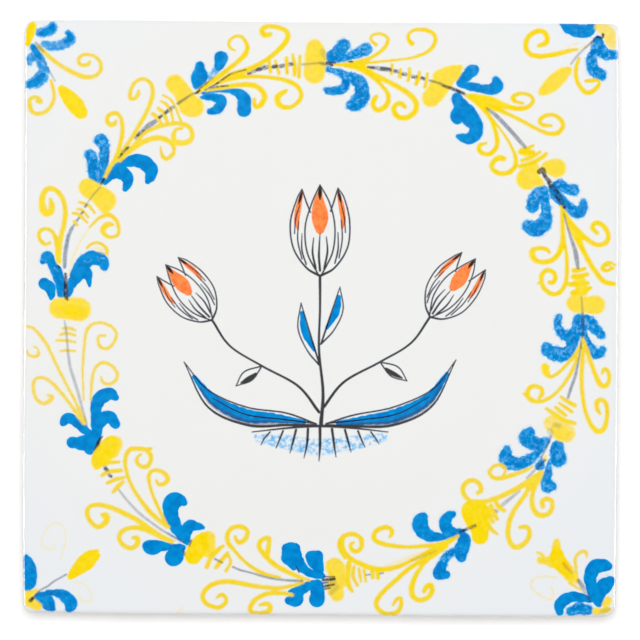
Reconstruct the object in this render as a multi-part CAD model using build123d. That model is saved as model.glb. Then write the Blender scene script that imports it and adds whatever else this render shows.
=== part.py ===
"""A hand-made delft wall tile: one fired slab of earthenware, tin-glazed on its face.

The slab was rolled out, cut to a square with a knife and fired, so no side is quite straight and no
corner quite square. The knife leans outwards, which leaves the back a little smaller than the face,
so that two tiles meet at their faces and the bedding mortar has room between their sides.

Frame: the tile lies on its back, +Z is out of the glazed face, +Y is the top of its picture, and the
origin is the middle of the back. All lengths are millimetres.
"""

import os

from build123d import *

# The slab
tile_side = 130.0  # the face, corner to corner along a side
tile_thickness = 7.0  # from the back to the glazed face
side_undercut = 1.0  # how far each side leans in between the face and the back

# Its edges
face_arris_radius = 0.9  # the glaze rolls over the edge of the face
back_arris_radius = 0.4  # the raw clay edge of the back, rubbed down after cutting
corner_radius_top_left = 2.4
corner_radius_top_right = 1.6
corner_radius_bottom_right = 2.2
corner_radius_bottom_left = 1.7

# How far each corner lies from that of a true square, to the right and upwards
corner_shift_top_left = (-0.27, 0.0)
corner_shift_top_right = (0.08, -0.14)
corner_shift_bottom_right = (0.05, -0.05)
corner_shift_bottom_left = (0.14, 0.19)

# How far the cut wanders outwards from a straight line, at equal steps along each side.
# Each side runs clockwise, as seen on the face.
wander_top = (0.09, -0.08, 0.02)
wander_right = (0.36, 0.33, 0.25)
wander_bottom = (0.35, 0.26, 0.35)
wander_left = (0.28, 0.07, -0.10)

corner_radii = (
    corner_radius_top_left,
    corner_radius_top_right,
    corner_radius_bottom_right,
    corner_radius_bottom_left,
)
corner_shifts = (
    corner_shift_top_left,
    corner_shift_top_right,
    corner_shift_bottom_right,
    corner_shift_bottom_left,
)
side_wanders = (wander_top, wander_right, wander_bottom, wander_left)


def cut_corners(side):
    """The four corners of a square of this side, clockwise from the top left, moved to where the knife left them."""
    half = side / 2
    square = ((-half, half), (half, half), (half, -half), (-half, -half))
    return [Vector(x + dx, y + dy) for (x, y), (dx, dy) in zip(square, corner_shifts)]


def cut_side(start, end, wander):
    """One side of the outline, from corner to corner: a smooth curve that wanders from the straight line."""
    along = end - start
    outward = Vector(-along.Y, along.X).normalized()
    step = 1 / (len(wander) + 1)
    between = [
        start + along * (step * number) + outward * stray for number, stray in enumerate(wander, start=1)
    ]
    return Spline(start, *between, end)


def outline(side, height):
    """The slab's outline at one height, as a flat face with sharp corners."""
    corners = cut_corners(side)
    following = corners[1:] + corners[:1]
    sides = [cut_side(a, b, wander) for a, b, wander in zip(corners, following, side_wanders)]
    return Pos(0, 0, height) * make_face(sides)


def cut_slab():
    """The slab as the knife leaves it: its sides lean in from the face to the back."""
    back = outline(tile_side - 2 * side_undercut, 0)
    face = outline(tile_side, tile_thickness)
    return loft([back, face], ruled=True)


def round_corners(slab):
    """Rounds the four upright edges, each to its own radius."""
    for corner, radius in zip(cut_corners(tile_side), corner_radii):
        uprights = slab.edges().filter_by(lambda edge: edge.bounding_box().size.Z > tile_thickness / 2)
        nearest = uprights.sort_by_distance(corner + Vector(0, 0, tile_thickness))[0]
        slab = fillet(nearest, radius)
    return slab


def round_arrises(slab):
    """Rolls the glaze over the edge of the face, and rubs down the edge of the back."""
    slab = fillet(slab.faces().sort_by(Axis.Z)[-1].edges(), face_arris_radius)
    return fillet(slab.faces().sort_by(Axis.Z)[0].edges(), back_arris_radius)


def centred(slab):
    """The slab moved so that the origin is the middle of its back."""
    middle = slab.bounding_box().center()
    return Pos(-middle.X, -middle.Y, 0) * slab


tile = centred(round_arrises(round_corners(cut_slab())))

os.makedirs("parts", exist_ok=True)
export_step(tile, "parts/tile.step")

size = tile.bounding_box().size
print(f"tile {size.X:.2f} x {size.Y:.2f} x {size.Z:.2f} mm, {tile.volume / 1000:.1f} cubic centimetres")
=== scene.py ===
# %% [markdown]
# # A painted delft tile
# The object is one slab of fired clay, about 130 mm square and 7 mm thick. Its face carries a white
# tin glaze. A painter brushed blue and yellow pigments on the raw glaze, and the kiln fused both into
# one glossy skin. The slab's size and outline come from the CAD frame. This lesson gives it the face
# a hand made: a slightly wavy glaze, every brush stroke in its place, and bare clay sides and back.

# %% Load the shared frame
import bpy
import numpy as np
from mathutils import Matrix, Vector
from mathutils.geometry import delaunay_2d_cdt


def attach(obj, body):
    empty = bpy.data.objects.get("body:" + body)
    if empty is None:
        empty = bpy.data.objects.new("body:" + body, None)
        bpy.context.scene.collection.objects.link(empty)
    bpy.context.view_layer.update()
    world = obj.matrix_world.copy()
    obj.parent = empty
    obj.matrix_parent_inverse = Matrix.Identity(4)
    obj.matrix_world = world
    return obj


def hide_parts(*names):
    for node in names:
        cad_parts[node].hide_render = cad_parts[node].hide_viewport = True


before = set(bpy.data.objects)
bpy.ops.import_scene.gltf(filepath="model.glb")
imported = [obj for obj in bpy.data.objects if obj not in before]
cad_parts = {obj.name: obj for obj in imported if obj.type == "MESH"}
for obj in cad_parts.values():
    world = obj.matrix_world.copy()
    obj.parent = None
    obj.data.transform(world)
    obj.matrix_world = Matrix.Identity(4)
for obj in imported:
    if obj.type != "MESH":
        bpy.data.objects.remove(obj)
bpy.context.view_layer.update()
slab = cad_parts["tile"]

# %% [markdown]
# ## The outline of the slab
# A hand-made tile is never a true square: its sides bow by a fraction of a millimetre and no two
# corners are alike. The CAD slab already has that outline, so it is measured here, not drawn again.
# Rays leave the middle in every direction, and the farthest edge that each one meets in plan is the
# outline. The points are then spread so that the round corners get most of them.

# %% Measure the outline in plan, in millimetres
MM = 1000.0
corner_points = np.empty(len(slab.data.vertices) * 3)
slab.data.vertices.foreach_get("co", corner_points)
corner_points = corner_points.reshape(-1, 3) * MM
edge_ends = np.empty(len(slab.data.edges) * 2, dtype=np.int64)
slab.data.edges.foreach_get("vertices", edge_ends)
edge_ends = edge_ends.reshape(-1, 2)
edge_from = corner_points[edge_ends[:, 0], :2]
edge_to = corner_points[edge_ends[:, 1], :2]
slab_thickness = corner_points[:, 2].max()


def farthest_edge(angle, start, end):
    """Distance from the middle to the last edge a ray meets: for a ray along d and an edge from a by e,
    the distance is cross(a, e) / cross(d, e), kept where the meeting point lies within the edge."""
    d = np.stack([np.cos(angle), np.sin(angle)], axis=1)[:, None, :]
    e = (end - start)[None]
    a = start[None]
    base = d[..., 0] * e[..., 1] - d[..., 1] * e[..., 0]
    base = np.where(np.abs(base) < 1e-9, 1e-9, base)
    reach = (a[..., 0] * e[..., 1] - a[..., 1] * e[..., 0]) / base
    along = (a[..., 0] * d[..., 1] - a[..., 1] * d[..., 0]) / base
    met = (along >= -1e-6) & (along <= 1 + 1e-6) & (reach > 0)
    return np.where(met, reach, 0).max(axis=1)


border_share = 0.45
ray_count, rays_at_once = 3600, 120
nearer_end = np.minimum(np.abs(edge_from).max(axis=1), np.abs(edge_to).max(axis=1))
outer = nearer_end > border_share * np.ptp(corner_points[:, 0])
ray_angle = np.linspace(0, 2 * np.pi, ray_count, endpoint=False)
ray_parts = np.split(ray_angle, ray_count // rays_at_once)
ray_reach = np.concatenate([farthest_edge(part, edge_from[outer], edge_to[outer]) for part in ray_parts])
dense_outline = np.stack([np.cos(ray_angle), np.sin(ray_angle)], axis=1) * ray_reach[:, None]


def spread_round(loop, count, corner_pull, smoothing=15):
    """A closed loop with its points moved along it: each stretch counts for its length plus a share of
    how far it turns, smoothed over its neighbours, and the new points divide that total evenly."""
    step = np.roll(loop, -1, axis=0) - loop
    length = np.linalg.norm(step, axis=1)
    heading = np.unwrap(np.arctan2(step[:, 1], step[:, 0]))
    bend = np.gradient(np.append(heading, heading[:1] + 2 * np.pi))[:-1]
    turn = np.abs(np.convolve(bend, np.ones(smoothing) / smoothing, "same"))
    weight = np.concatenate([[0], np.cumsum(length + corner_pull * turn)])
    wanted = np.linspace(0, weight[-1], count, endpoint=False)
    closed = np.vstack([loop, loop[:1]])
    return np.stack([np.interp(wanted, weight, closed[:, axis]) for axis in range(2)], axis=1)


outline_count, corner_pull = 560, 14.0
outline = spread_round(dense_outline, outline_count, corner_pull)
outline_step = np.roll(outline, -1, axis=0) - np.roll(outline, 1, axis=0)
outline_in = np.stack([-outline_step[:, 1], outline_step[:, 0]], axis=1)
outline_in /= np.linalg.norm(outline_in, axis=1)[:, None]
print("outline points:", len(outline), "size in mm:", np.ptp(outline, axis=0).round(2))
print("thickness in mm:", round(slab_thickness, 2))

# %% [markdown]
# ## From the picture to the tile
# The wreath and the corners were read off a picture taken straight from above, point by point,
# and the middle is laid out in the same points: each brush stroke is a short list of (across, down,
# width). One mapping turns those into millimetres on the tile, and its numbers also place the camera.

# %% Map picture points to millimetres on the tile
picture_middle = np.array([320.0, 320.0])
tile_middle_in_picture = np.array([320.4, 317.9])
picture_points_per_mm = 4.572
picture_turn = np.radians(0.28)
outline_middle = np.array([0.10, -0.13])


def on_tile(points):
    """Picture points to tile millimetres: move to the tile's middle, flip the down axis, divide by the
    scale, and turn back by the small angle at which the tile lay."""
    flat = (np.asarray(points, float)[..., :2] - tile_middle_in_picture) / picture_points_per_mm
    x, y = flat[..., 0], -flat[..., 1]
    c, s = np.cos(picture_turn), np.sin(picture_turn)
    return np.stack([c * x - s * y, s * x + c * y], axis=-1) - outline_middle


print("middle of the picture on the tile, mm:", on_tile(picture_middle).round(3))

# %% [markdown]
# ### The wreath
# Twelve like units run clockwise round the tile. Each grows from a pair of yellow knobs: four blue
# leaves, four yellow scrolls, and a grey stem with yellow ticks that ends at the next knobs. The
# painter never drew two alike, so each unit has its own numbers.

# %% The wreath, top left to top
wreath = {}


def stroke_count(unit):
    """How many strokes a unit has: the lengths of its pigments' lists, added up."""
    return sum(len(strokes) for strokes in unit.values())


wreath["top_left_to_top"] = {
    "flecked_blue": [
        [(200, 66, 9), (200, 71, 10.5), (199.5, 77, 16), (197, 84, 9), (196, 88, 3)],
        [(221, 58, 13), (220, 63, 11), (218.5, 67, 7.5)],
        [(202, 97.5, 3), (208, 97, 6), (214, 97.5, 7.5), (220, 99.5, 10), (221, 104, 10), (217, 109.5, 9),
         (210, 111.5, 5.5)],
        [(203, 93, 3), (213, 91.5, 2), (223, 91, 2.5), (231, 91, 5), (239, 93.5, 9), (244, 98.5, 12),
         (244.5, 105, 13), (244, 110, 13.5)],
    ],
    "thin_blue": [
        [(218, 68, 6), (212, 75, 7), (205, 80, 8)],
    ],
    "yellow": [
        [(198, 92, 4), (212, 81.5, 4.5), (226, 71, 4), (236, 63, 3.5), (244, 55.5, 4.5),
         (247.5, 47.5, 3.5), (243, 38, 2.8), (237, 36, 2.2), (231, 39, 2.2), (228.7, 44, 2.3),
         (231, 48.5, 2), (234.5, 50.3, 1.5)],
        [(219, 82, 3), (231, 75, 4.5), (241, 72, 5), (252, 68, 4.5), (263, 62, 4), (274, 54, 4),
         (283, 45.5, 4.5), (287.8, 37.5, 4.5), (286, 31, 4), (278, 27.5, 3.8), (270, 26.3, 3.8),
         (263.5, 28, 4.2), (262, 32, 4.5), (265, 35, 5), (270, 34.5, 4)],
        [(216, 84, 3), (228, 79, 5), (241, 77, 4), (256, 76.6, 3.2), (270, 77.6, 3), (283, 79.6, 3.5),
         (294, 84, 4), (300, 90, 3.5), (301, 97, 3.5), (297, 103, 3.5), (290, 107.3, 3.5),
         (283, 107, 4.2), (278, 103, 5.2), (277.5, 97.5, 5.2), (281.5, 93.5, 4.6), (286, 91, 3)],
        [(206, 90.5, 2), (220, 88, 3.2), (234, 85.6, 4), (247, 84.6, 4.5), (256, 86.2, 4.5),
         (262.5, 91.5, 4.5), (264.5, 97.5, 5), (261.5, 104, 4.5), (257, 107, 4), (254.3, 104, 3.5),
         (254.3, 99.5, 3)],
        [(269, 61, 2.7), (270.5, 72, 2.7)],
        [(275.5, 61.5, 2.6), (279, 73.5, 2.4)],
        [(286.5, 58, 3), (287, 73, 3)],
        [(292.5, 54.5, 2), (294.5, 65, 3.5), (294.5, 75, 3)],
        [(300, 56, 2.5), (299, 77, 3)],
    ],
    "soft_yellow": [
        [(314.5, 47, 16), (315.5, 54, 20.5), (315, 64, 22), (314.3, 73, 21.5)],
        [(309.5, 69, 12), (311, 75, 14)],
    ],
    "dark": [
        [(197, 92.5, 2.4), (199.5, 90.5, 2)],
        [(217, 83.5, 2.2), (218.5, 82.5, 2)],
        [(221, 80.5, 1.5), (226, 77, 1.7), (229, 75, 1.3)],
        [(248, 73.8, 2.2), (250.5, 73.2, 2.4)],
        [(327, 63, 3), (332, 65, 3)],
    ],
    "stem": [
        [(319, 63, 2), (327, 64.5, 3)],
    ],
    "faint_stem": [
        [(302.5, 64.5, 2.6), (311, 63.7, 2), (319, 63, 1.6)],
    ],
    "ghost_stem": [
        [(322.5, 51, 5), (325, 58, 4)],
        [(320, 63, 4), (326, 64, 4)],
    ],
    "half_dark": [
        [(251, 73, 2.4), (257, 70, 3.6), (266, 67.2, 5)],
        [(191, 94.5, 1.6), (196, 93, 2)],
        [(205, 90, 1.3), (217, 83.5, 1.3), (227, 76.5, 1.3), (232, 73.5, 1.2), (246, 69.5, 1.1)],
        [(208, 88.3, 1.3), (216, 87, 1.9), (228, 85.6, 1.2)],
        [(199, 89, 1.2), (208, 82, 1.2), (214, 77, 1.1)],
        [(273.5, 66.8, 3.8), (276.3, 66.2, 3.8)],
        [(280.5, 66.2, 4), (283.5, 65.6, 3.8)],
        [(290, 64.4, 3.8), (292, 64, 3.4)],
    ],
}
print("strokes:", stroke_count(wreath["top_left_to_top"]))

# %% The wreath, top to top right
wreath["top_to_top_right"] = {
    "grainy_blue": [
        [(332, 56.5, 11), (337, 53, 12), (341, 49, 12.5), (343.5, 45.5, 12)],
        [(331, 59, 8), (340, 57.5, 9), (347, 57.5, 6), (354, 54.5, 8), (361, 51.5, 10), (366, 49, 11)],
        [(328, 69.5, 5), (338, 72, 5.5), (345, 76.5, 8.5), (345.5, 84, 7.5), (342.5, 89.5, 8.5),
         (335, 91, 7.5), (327, 90.5, 6)],
        [(346, 75.5, 6), (354, 78.5, 10), (360.5, 84.5, 13), (362, 92, 14), (360.5, 99, 15),
         (355.5, 104, 13), (351, 105.5, 9)],
    ],
    "yellow": [
        [(334, 65, 2), (348, 64, 3.5), (360, 62, 5), (370, 58, 3), (378, 53.5, 3), (384.5, 47.5, 3.2),
         (388, 40, 3), (385, 35.5, 2.4), (379, 33.7, 2.4), (373, 35, 2.4), (370.7, 38.5, 2.4),
         (372.7, 42, 2.6), (376, 44.7, 3)],
        [(356, 63.5, 5), (370, 62.7, 2.6), (382, 61.5, 2.2), (396, 60, 2), (408, 58.5, 2), (418, 56, 2.6),
         (427, 52, 3), (433, 46.5, 3.4), (435.5, 39.5, 3.4), (433, 33.5, 3.6), (427, 30.3, 3.6),
         (418, 29.6, 2.8), (411, 31.7, 2.4), (408.2, 36, 2.8), (409, 40.5, 3.6), (412, 43.5, 4.4)],
        [(345, 66, 2.5), (356, 67.5, 4.5), (366, 72, 5), (375, 79, 3.6), (383, 87, 3.2), (388, 94.5, 4),
         (388, 102, 4.4), (383.5, 108, 4.8), (377, 110, 4.6), (373, 105.5, 4.2), (374, 100, 4.4),
         (376, 97, 4)],
        [(352, 64.5, 6), (362, 68, 8), (373, 74.5, 6), (385, 80, 4.5), (398, 87, 4.5), (409.5, 94.5, 5),
         (416, 103, 5), (415, 111, 5.2), (409, 116.7, 5), (401.5, 118, 4.8), (395.5, 114.5, 5),
         (393.7, 108.5, 4.6), (397, 104.2, 4.4), (402, 104, 4.4), (405, 107, 3.6)],
        [(392, 65, 2.5), (391.5, 73.5, 3)],
        [(400.5, 69.5, 2.5), (399.8, 77, 3.5)],
        [(409.5, 69, 3), (409.5, 75, 3.2), (408, 81, 2.4)],
        [(419.5, 72, 2.2), (418.5, 78, 4), (416, 84, 3.4)],
        [(427.5, 73.5, 2.4), (426.5, 80, 3), (425, 87, 3)],
    ],
    "soft_yellow": [
        [(440, 77, 15), (451, 74, 17), (460, 67.5, 6)],
        [(446, 80, 17), (440, 86, 20), (436, 92, 20), (431, 98, 18.5)],
    ],
    "dark": [
        [(327, 62.5, 2), (335, 63, 1.5)],
        [(349, 61.5, 2), (352, 61.5, 2)],
        [(443, 85.6, 2.4), (453, 89, 3.4), (464, 93.6, 3)],
    ],
    "half_dark": [
        [(368, 67, 2), (376, 68, 3.4), (384, 69, 4.5), (390, 69.8, 4)],
        [(395, 71, 3.7), (397.6, 71.6, 3.7)],
        [(403, 73.6, 3.7), (405.6, 74.3, 3.7)],
        [(412.6, 76.3, 3.7), (415.8, 77, 3.7)],
        [(422, 78, 3.5), (424, 78.8, 3.2)],
    ],
    "stem": [
        [(430, 80.5, 2.2), (440, 83.5, 2.4), (451, 88.5, 2.6)],
    ],
}
print("strokes:", stroke_count(wreath["top_to_top_right"]))

# %% The wreath, top right to right top
wreath["top_right_to_right_top"] = {
    "flecked_blue": [
        [(460.5, 83, 8), (466, 76.5, 10), (472, 71, 11.5), (475, 69, 8.5)],
        [(463, 86, 4), (471, 86.5, 8), (481, 88.5, 8), (490, 89.5, 10), (497, 86.5, 12), (496, 80, 7)],
        [(457, 98, 10), (461, 106, 14), (468, 115, 18), (475, 124, 14), (476, 132, 13.5),
         (470, 138.5, 11), (463, 138, 8), (458, 136, 4)],
        [(460, 110, 13), (456.5, 116, 12), (457.5, 120.5, 8.5)],
    ],
    "yellow": [
        [(466, 95.5, 3), (478, 97.5, 6), (492, 101, 7), (504, 105.5, 5.5), (516, 108.5, 4.5),
         (527, 107.5, 4), (533, 101.5, 3.2), (530.5, 96, 2.8), (524, 93.5, 2.8), (517, 94.2, 3.2),
         (513, 98, 4.4), (516.5, 102, 3), (523, 103.3, 2.2)],
        [(470, 97, 5), (484, 103, 7), (498, 109.5, 4.4), (510, 115, 3), (522, 121, 3), (536, 128.5, 3),
         (548, 133.5, 3.4), (557.5, 133, 4), (563, 126.5, 3.8), (560.5, 119.5, 3.6), (553.5, 115, 3),
         (546, 115.5, 3.2), (540.5, 119.5, 3.6), (540.5, 123.5, 3.2), (545, 125.5, 3), (551, 125.7, 2.6)],
        [(472, 98, 5), (482, 106, 6), (489, 116, 3.6), (494, 127, 3.4), (497, 138, 4), (496.3, 147, 4),
         (491, 153.3, 4), (484, 154, 4), (479, 149.7, 4), (480.3, 145, 3.4), (486, 143.3, 2.2)],
        [(484, 108, 3), (493, 120, 2), (503, 133, 1.8), (511, 146, 2.2), (515.5, 157, 3.2),
         (515.5, 165, 4), (510.5, 171.5, 4.2), (502, 173.7, 4), (494.5, 171, 4), (491.5, 166, 4),
         (494.5, 160.5, 4.4), (499.5, 158, 5.5), (503.5, 159, 4.6)],
        [(521, 150, 3), (528, 148.5, 3), (533, 145.5, 2.4)],
        [(520, 152, 4), (526, 152.5, 6), (533, 152, 3.6)],
        [(522, 160.5, 3), (532, 157, 3.2), (540, 152, 2.6)],
        [(520, 166.5, 3.6), (533, 162.5, 4), (541, 158, 3.6), (546, 154, 3.6)],
    ],
    "soft_yellow": [
        [(535, 168, 10), (531, 173, 18), (527, 179, 22)],
        [(547, 167, 12), (556, 168, 20)],
        [(537, 181, 12), (541, 183, 6)],
    ],
    "dark": [
        [(539.5, 171.5, 5), (543, 170, 5), (545, 176, 4), (550, 182, 4.4)],
    ],
    "scratched": [
        [(549, 181, 5), (554, 190, 7), (560, 199, 6), (564.5, 207, 4)],
    ],
    "stem": [
        [(487, 108.5, 2.4), (495, 114.5, 3.8), (502, 121.5, 4), (510, 130, 4), (518, 139, 4),
         (525, 147, 3.6)],
    ],
}
print("strokes:", stroke_count(wreath["top_right_to_right_top"]))

# %% The wreath, right top to right
wreath["right_top_to_right"] = {
    "grainy_blue": [
        [(543, 190, 8), (538, 193.5, 11), (534, 200.5, 12), (532.5, 206.5, 12)],
        [(544.5, 190.5, 7), (545, 202, 8.5), (546, 212, 9.5), (545.5, 220, 12), (541, 226.5, 15),
         (534, 229, 14.5), (528, 226, 11)],
        [(556, 186, 9), (561, 185.5, 11), (568, 189.5, 8.5), (573.5, 190, 11)],
        [(553, 190, 9), (558, 197, 10), (564, 203, 9.5), (571, 209, 9), (578, 212.5, 11), (583, 208, 9),
         (583.5, 202, 5.5)],
    ],
    "yellow": [
        [(561, 207, 3), (567, 217, 4), (573, 226, 5.5), (580, 233.5, 5.5), (588, 240, 4.5),
         (597, 245, 4.4), (605.5, 243, 4.6), (608.5, 236, 4.2), (605, 228, 4.4), (600, 223.5, 4.4),
         (594.5, 223.5, 4.2), (592.7, 228, 4), (597, 233, 3.6)],
        [(566, 216, 3), (572, 227, 7), (578, 239, 7), (583, 250, 4.8), (590, 263, 4.4), (598, 275, 4.4),
         (605, 282, 4.6), (614, 284, 4)],
        [(613, 268, 2.6), (607, 270.5, 3.2), (602.5, 268.5, 4), (605, 263.5, 2), (610, 262.5, 2.4),
         (615, 265, 1.8)],
        [(604, 266.5, 1.8), (609, 265.5, 1.8), (613, 269, 1.8)],
        [(562, 209, 3), (562.5, 224, 4), (563, 238, 4.5), (562, 246, 5.5), (558, 254.5, 4.6),
         (551, 260.7, 4.6), (542, 262.2, 4.4), (535.5, 260, 5), (532.3, 255, 6), (533, 250, 5),
         (540, 248.2, 3.8), (546.5, 249.5, 3.6), (549.5, 252.5, 2.4)],
        [(564, 240, 2.4), (566.5, 255, 2.8), (567, 270, 3.6), (566, 281, 4), (562.5, 289.5, 4),
         (556, 294.2, 4), (549, 292.7, 4), (543.2, 287, 4), (541.3, 279, 4), (543.2, 273, 4),
         (548, 270.2, 4.2), (553.7, 272.8, 4), (555.3, 278, 4), (553, 282.3, 4), (549.5, 282.5, 3.6)],
        [(541, 281.5, 2), (538, 283.5, 1.2)],
        [(574, 270.5, 4.6), (580, 270, 3.6), (585, 268.5, 2.6)],
        [(573, 277, 4), (580, 276, 4), (587, 274.5, 4)],
        [(570, 284.5, 4.6), (580, 284, 4.6), (587.5, 283, 4)],
        [(573, 293, 5.5), (582, 291.5, 6), (590, 288, 3.6)],
    ],
    "soft_yellow": [
        [(573, 303, 14), (577, 304, 19)],
        [(585, 305, 17), (596, 305, 19)],
        [(574, 275, 4), (580, 281, 12), (582, 290, 14)],
    ],
    "stem": [
        [(564, 214, 1.5), (567, 225, 2), (571, 238, 3), (575, 250, 4), (576.5, 258, 4.5), (578, 268, 3)],
        [(582.5, 313, 2.4), (583, 321, 2.8), (583, 331, 2.2), (582, 338, 1.6)],
    ],
    "faint_stem": [
        [(581.5, 297, 1.6), (582, 304, 1.8), (582.5, 313, 2.2)],
    ],
}
print("strokes:", stroke_count(wreath["right_top_to_right"]))

# %% The wreath, right to right bottom
wreath["right_to_right_bottom"] = {
    "grainy_blue": [
        [(578.5, 318.5, 9), (577.5, 328, 11), (573, 337, 13), (571, 347, 10), (566, 353.5, 13),
         (557, 354, 14), (549, 351, 12.5), (546, 346.5, 8.5)],
        [(559, 317, 6), (557.5, 324, 7), (560, 331, 8), (566, 336, 9.5), (572, 339, 9)],
        [(587, 318.5, 8), (590, 323, 12), (595.5, 329, 9.5), (601, 334, 8.5)],
        [(581, 324, 12), (583, 333, 8), (586.5, 338, 5), (590, 345.5, 6.5), (594.5, 353, 9.5),
         (600, 353.5, 8), (603, 349.5, 6)],
    ],
    "yellow": [
        [(581.6, 343.7, 2.4), (575.6, 354.7, 3.8), (567.6, 363.7, 3), (558.6, 372.7, 3),
         (550.6, 376.7, 3.2), (546, 372, 7), (545, 367.5, 8)],
        [(577.6, 357.7, 3), (571.6, 371.7, 3), (562.6, 385.7, 3), (552.6, 395.7, 3), (542.6, 401, 3.4),
         (533.6, 401, 4), (527.9, 396.2, 4.4), (528.6, 389.2, 4.2), (534.6, 386, 4), (541, 388.7, 4),
         (542, 394.2, 4), (539, 397.7, 2.6)],
        [(527, 396.5, 3), (523.5, 393.5, 1.2)],
        [(582.5, 338, 2.5), (586.5, 350, 4), (591.5, 364, 3.8), (595.5, 375, 4), (600, 384, 5),
         (605.5, 386, 4.4), (609.2, 380, 3.6), (608, 371.7, 3.6), (604, 369.2, 3.4), (602.2, 373.2, 2.4)],
        [(583, 348, 4), (582, 365, 3.6), (581.5, 380, 3.6), (582.5, 395, 3.6), (585, 410, 3.6),
         (590, 423, 4), (596, 430.5, 5), (602, 430.5, 5), (606, 423, 4), (607.3, 411, 3.6),
         (605.3, 402.5, 4), (601, 399.8, 4), (597, 402.3, 4.4), (597, 408.5, 4), (600, 413.5, 2.6)],
        [(561, 397, 2.6), (566, 400.7, 3.4), (575, 405.5, 3.6)],
        [(559, 403, 2), (565, 407, 3), (572, 412, 3)],
        [(555.5, 407.5, 3), (560, 411, 3.6), (566, 415.5, 2.6)],
        [(546, 408.5, 2), (555, 414.5, 4.4), (564, 420.5, 4.8), (575, 423.5, 3.2)],
    ],
    "soft_yellow": [
        [(557, 430, 14), (561, 433, 16), (564, 434.5, 14)],
    ],
    "thin_yellow": [
        [(551.5, 423.5, 16), (556, 425, 17)],
        [(558, 428, 18), (562, 431, 20), (566, 433, 19)],
    ],
    "faint_yellow": [
        [(581.5, 345, 4), (577, 356, 8), (574, 364, 4)],
        [(585, 350, 4), (587, 362, 5)],
    ],
    "stem": [
        [(581, 341, 1.6), (581, 348, 2.2)],
        [(580.5, 349, 1.2), (579, 358, 1.8), (575.5, 375, 2.8), (571, 388, 3), (568, 398, 2.6)],
        [(551, 436, 1.8), (549, 442, 2), (545, 450, 2.2), (541, 457.5, 2)],
    ],
    "ghost_blue": [
        [(548, 441, 6), (542, 451, 7), (535, 463, 6)],
    ],
    "ghost_stem": [
        [(555, 425, 5), (559, 425.5, 5)],
        [(550, 431, 6), (551, 436, 5)],
    ],
}
print("strokes:", stroke_count(wreath["right_to_right_bottom"]))

# %% The wreath, right bottom to bottom right
wreath["right_bottom_to_bottom_right"] = {
    "grainy_blue": [
        [(529.5, 432.5, 10), (527, 438, 14.5), (533, 443, 13), (540, 444, 11), (546, 441, 7)],
        [(541, 450, 5), (535, 455, 7), (527, 461, 10.5), (517, 464, 12), (508, 461, 14.5),
         (505.5, 454, 11), (507, 449.5, 7)],
        [(542, 461, 4), (540, 466, 8)],
        [(557.5, 447, 12), (557, 453, 14), (558.5, 460, 13), (550, 462, 4), (548, 473, 7),
         (546.5, 481, 10), (547, 487, 11), (552, 486, 9)],
    ],
    "yellow": [
        [(532, 467, 2), (524, 471, 3), (513, 475, 4), (502, 478, 4), (494, 478, 3.6), (489.5, 472.5, 3.6),
         (493, 467, 3), (499, 464.7, 3), (504, 467, 3), (505.3, 471.5, 2.4), (503.5, 474.5, 1.4)],
        [(541, 472.5, 4), (530, 481, 6), (519, 487.5, 5), (506, 494, 4.6), (494, 499, 4.4),
         (482, 502, 4.4), (470.5, 500.7, 4), (464, 494.5, 4.2), (463.2, 487, 4.4), (468, 481.3, 4.2),
         (475, 480.7, 4), (480, 485, 4.2), (481, 490.5, 4.2), (478, 493, 4)],
        [(541, 473, 5), (537, 482, 5), (533, 492, 4), (532, 503, 4.4), (534.5, 511, 4.8),
         (540, 515.3, 4.8), (548, 514, 4.4), (552, 508, 4), (551.5, 501, 4), (547, 499, 4),
         (542.3, 501.3, 4.2), (542.7, 506.5, 4.2)],
        [(538, 476, 5), (531, 484, 5), (525, 495, 4), (517, 506, 4), (511, 517, 4.4), (508, 530, 4.6),
         (509.5, 541, 4.6), (515, 547, 5), (522.5, 545, 4.6), (528.5, 538, 4.4), (529.5, 531, 4),
         (526, 527, 3.8), (520, 527.3, 3.2)],
        [(495, 501, 3.6), (499, 507, 4.6), (504, 510.5, 3.6)],
        [(491, 506, 4), (494, 513, 4.4), (497, 519, 3.4)],
        [(487, 508, 4.5), (490, 517, 4.5), (493, 522, 3.4)],
        [(486, 520, 4), (491, 529, 4), (497, 534, 2.6)],
    ],
    "strong_yellow": [
        [(472, 511, 22), (476, 518, 24), (480, 530, 18), (480, 536, 17)],
        [(482, 505, 8), (486, 513, 10)],
    ],
    "stem": [
        [(545, 460, 2), (541, 464, 3), (537, 469, 2.4)],
    ],
    "faint_stem": [
        [(536, 469, 2.8), (527, 478, 2.4)],
        [(520, 491, 1.8), (511, 498, 3.2), (503, 504.5, 4)],
        [(496, 510.5, 3), (497, 511.5, 3)],
    ],
    "thin_yellow": [
        [(545, 457, 4), (545.7, 459.5, 4)],
    ],
    "half_dark": [
        [(475, 525.5, 3.2), (467, 529, 3), (460, 532, 3)],
    ],
}
print("strokes:", stroke_count(wreath["right_bottom_to_bottom_right"]))

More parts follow.
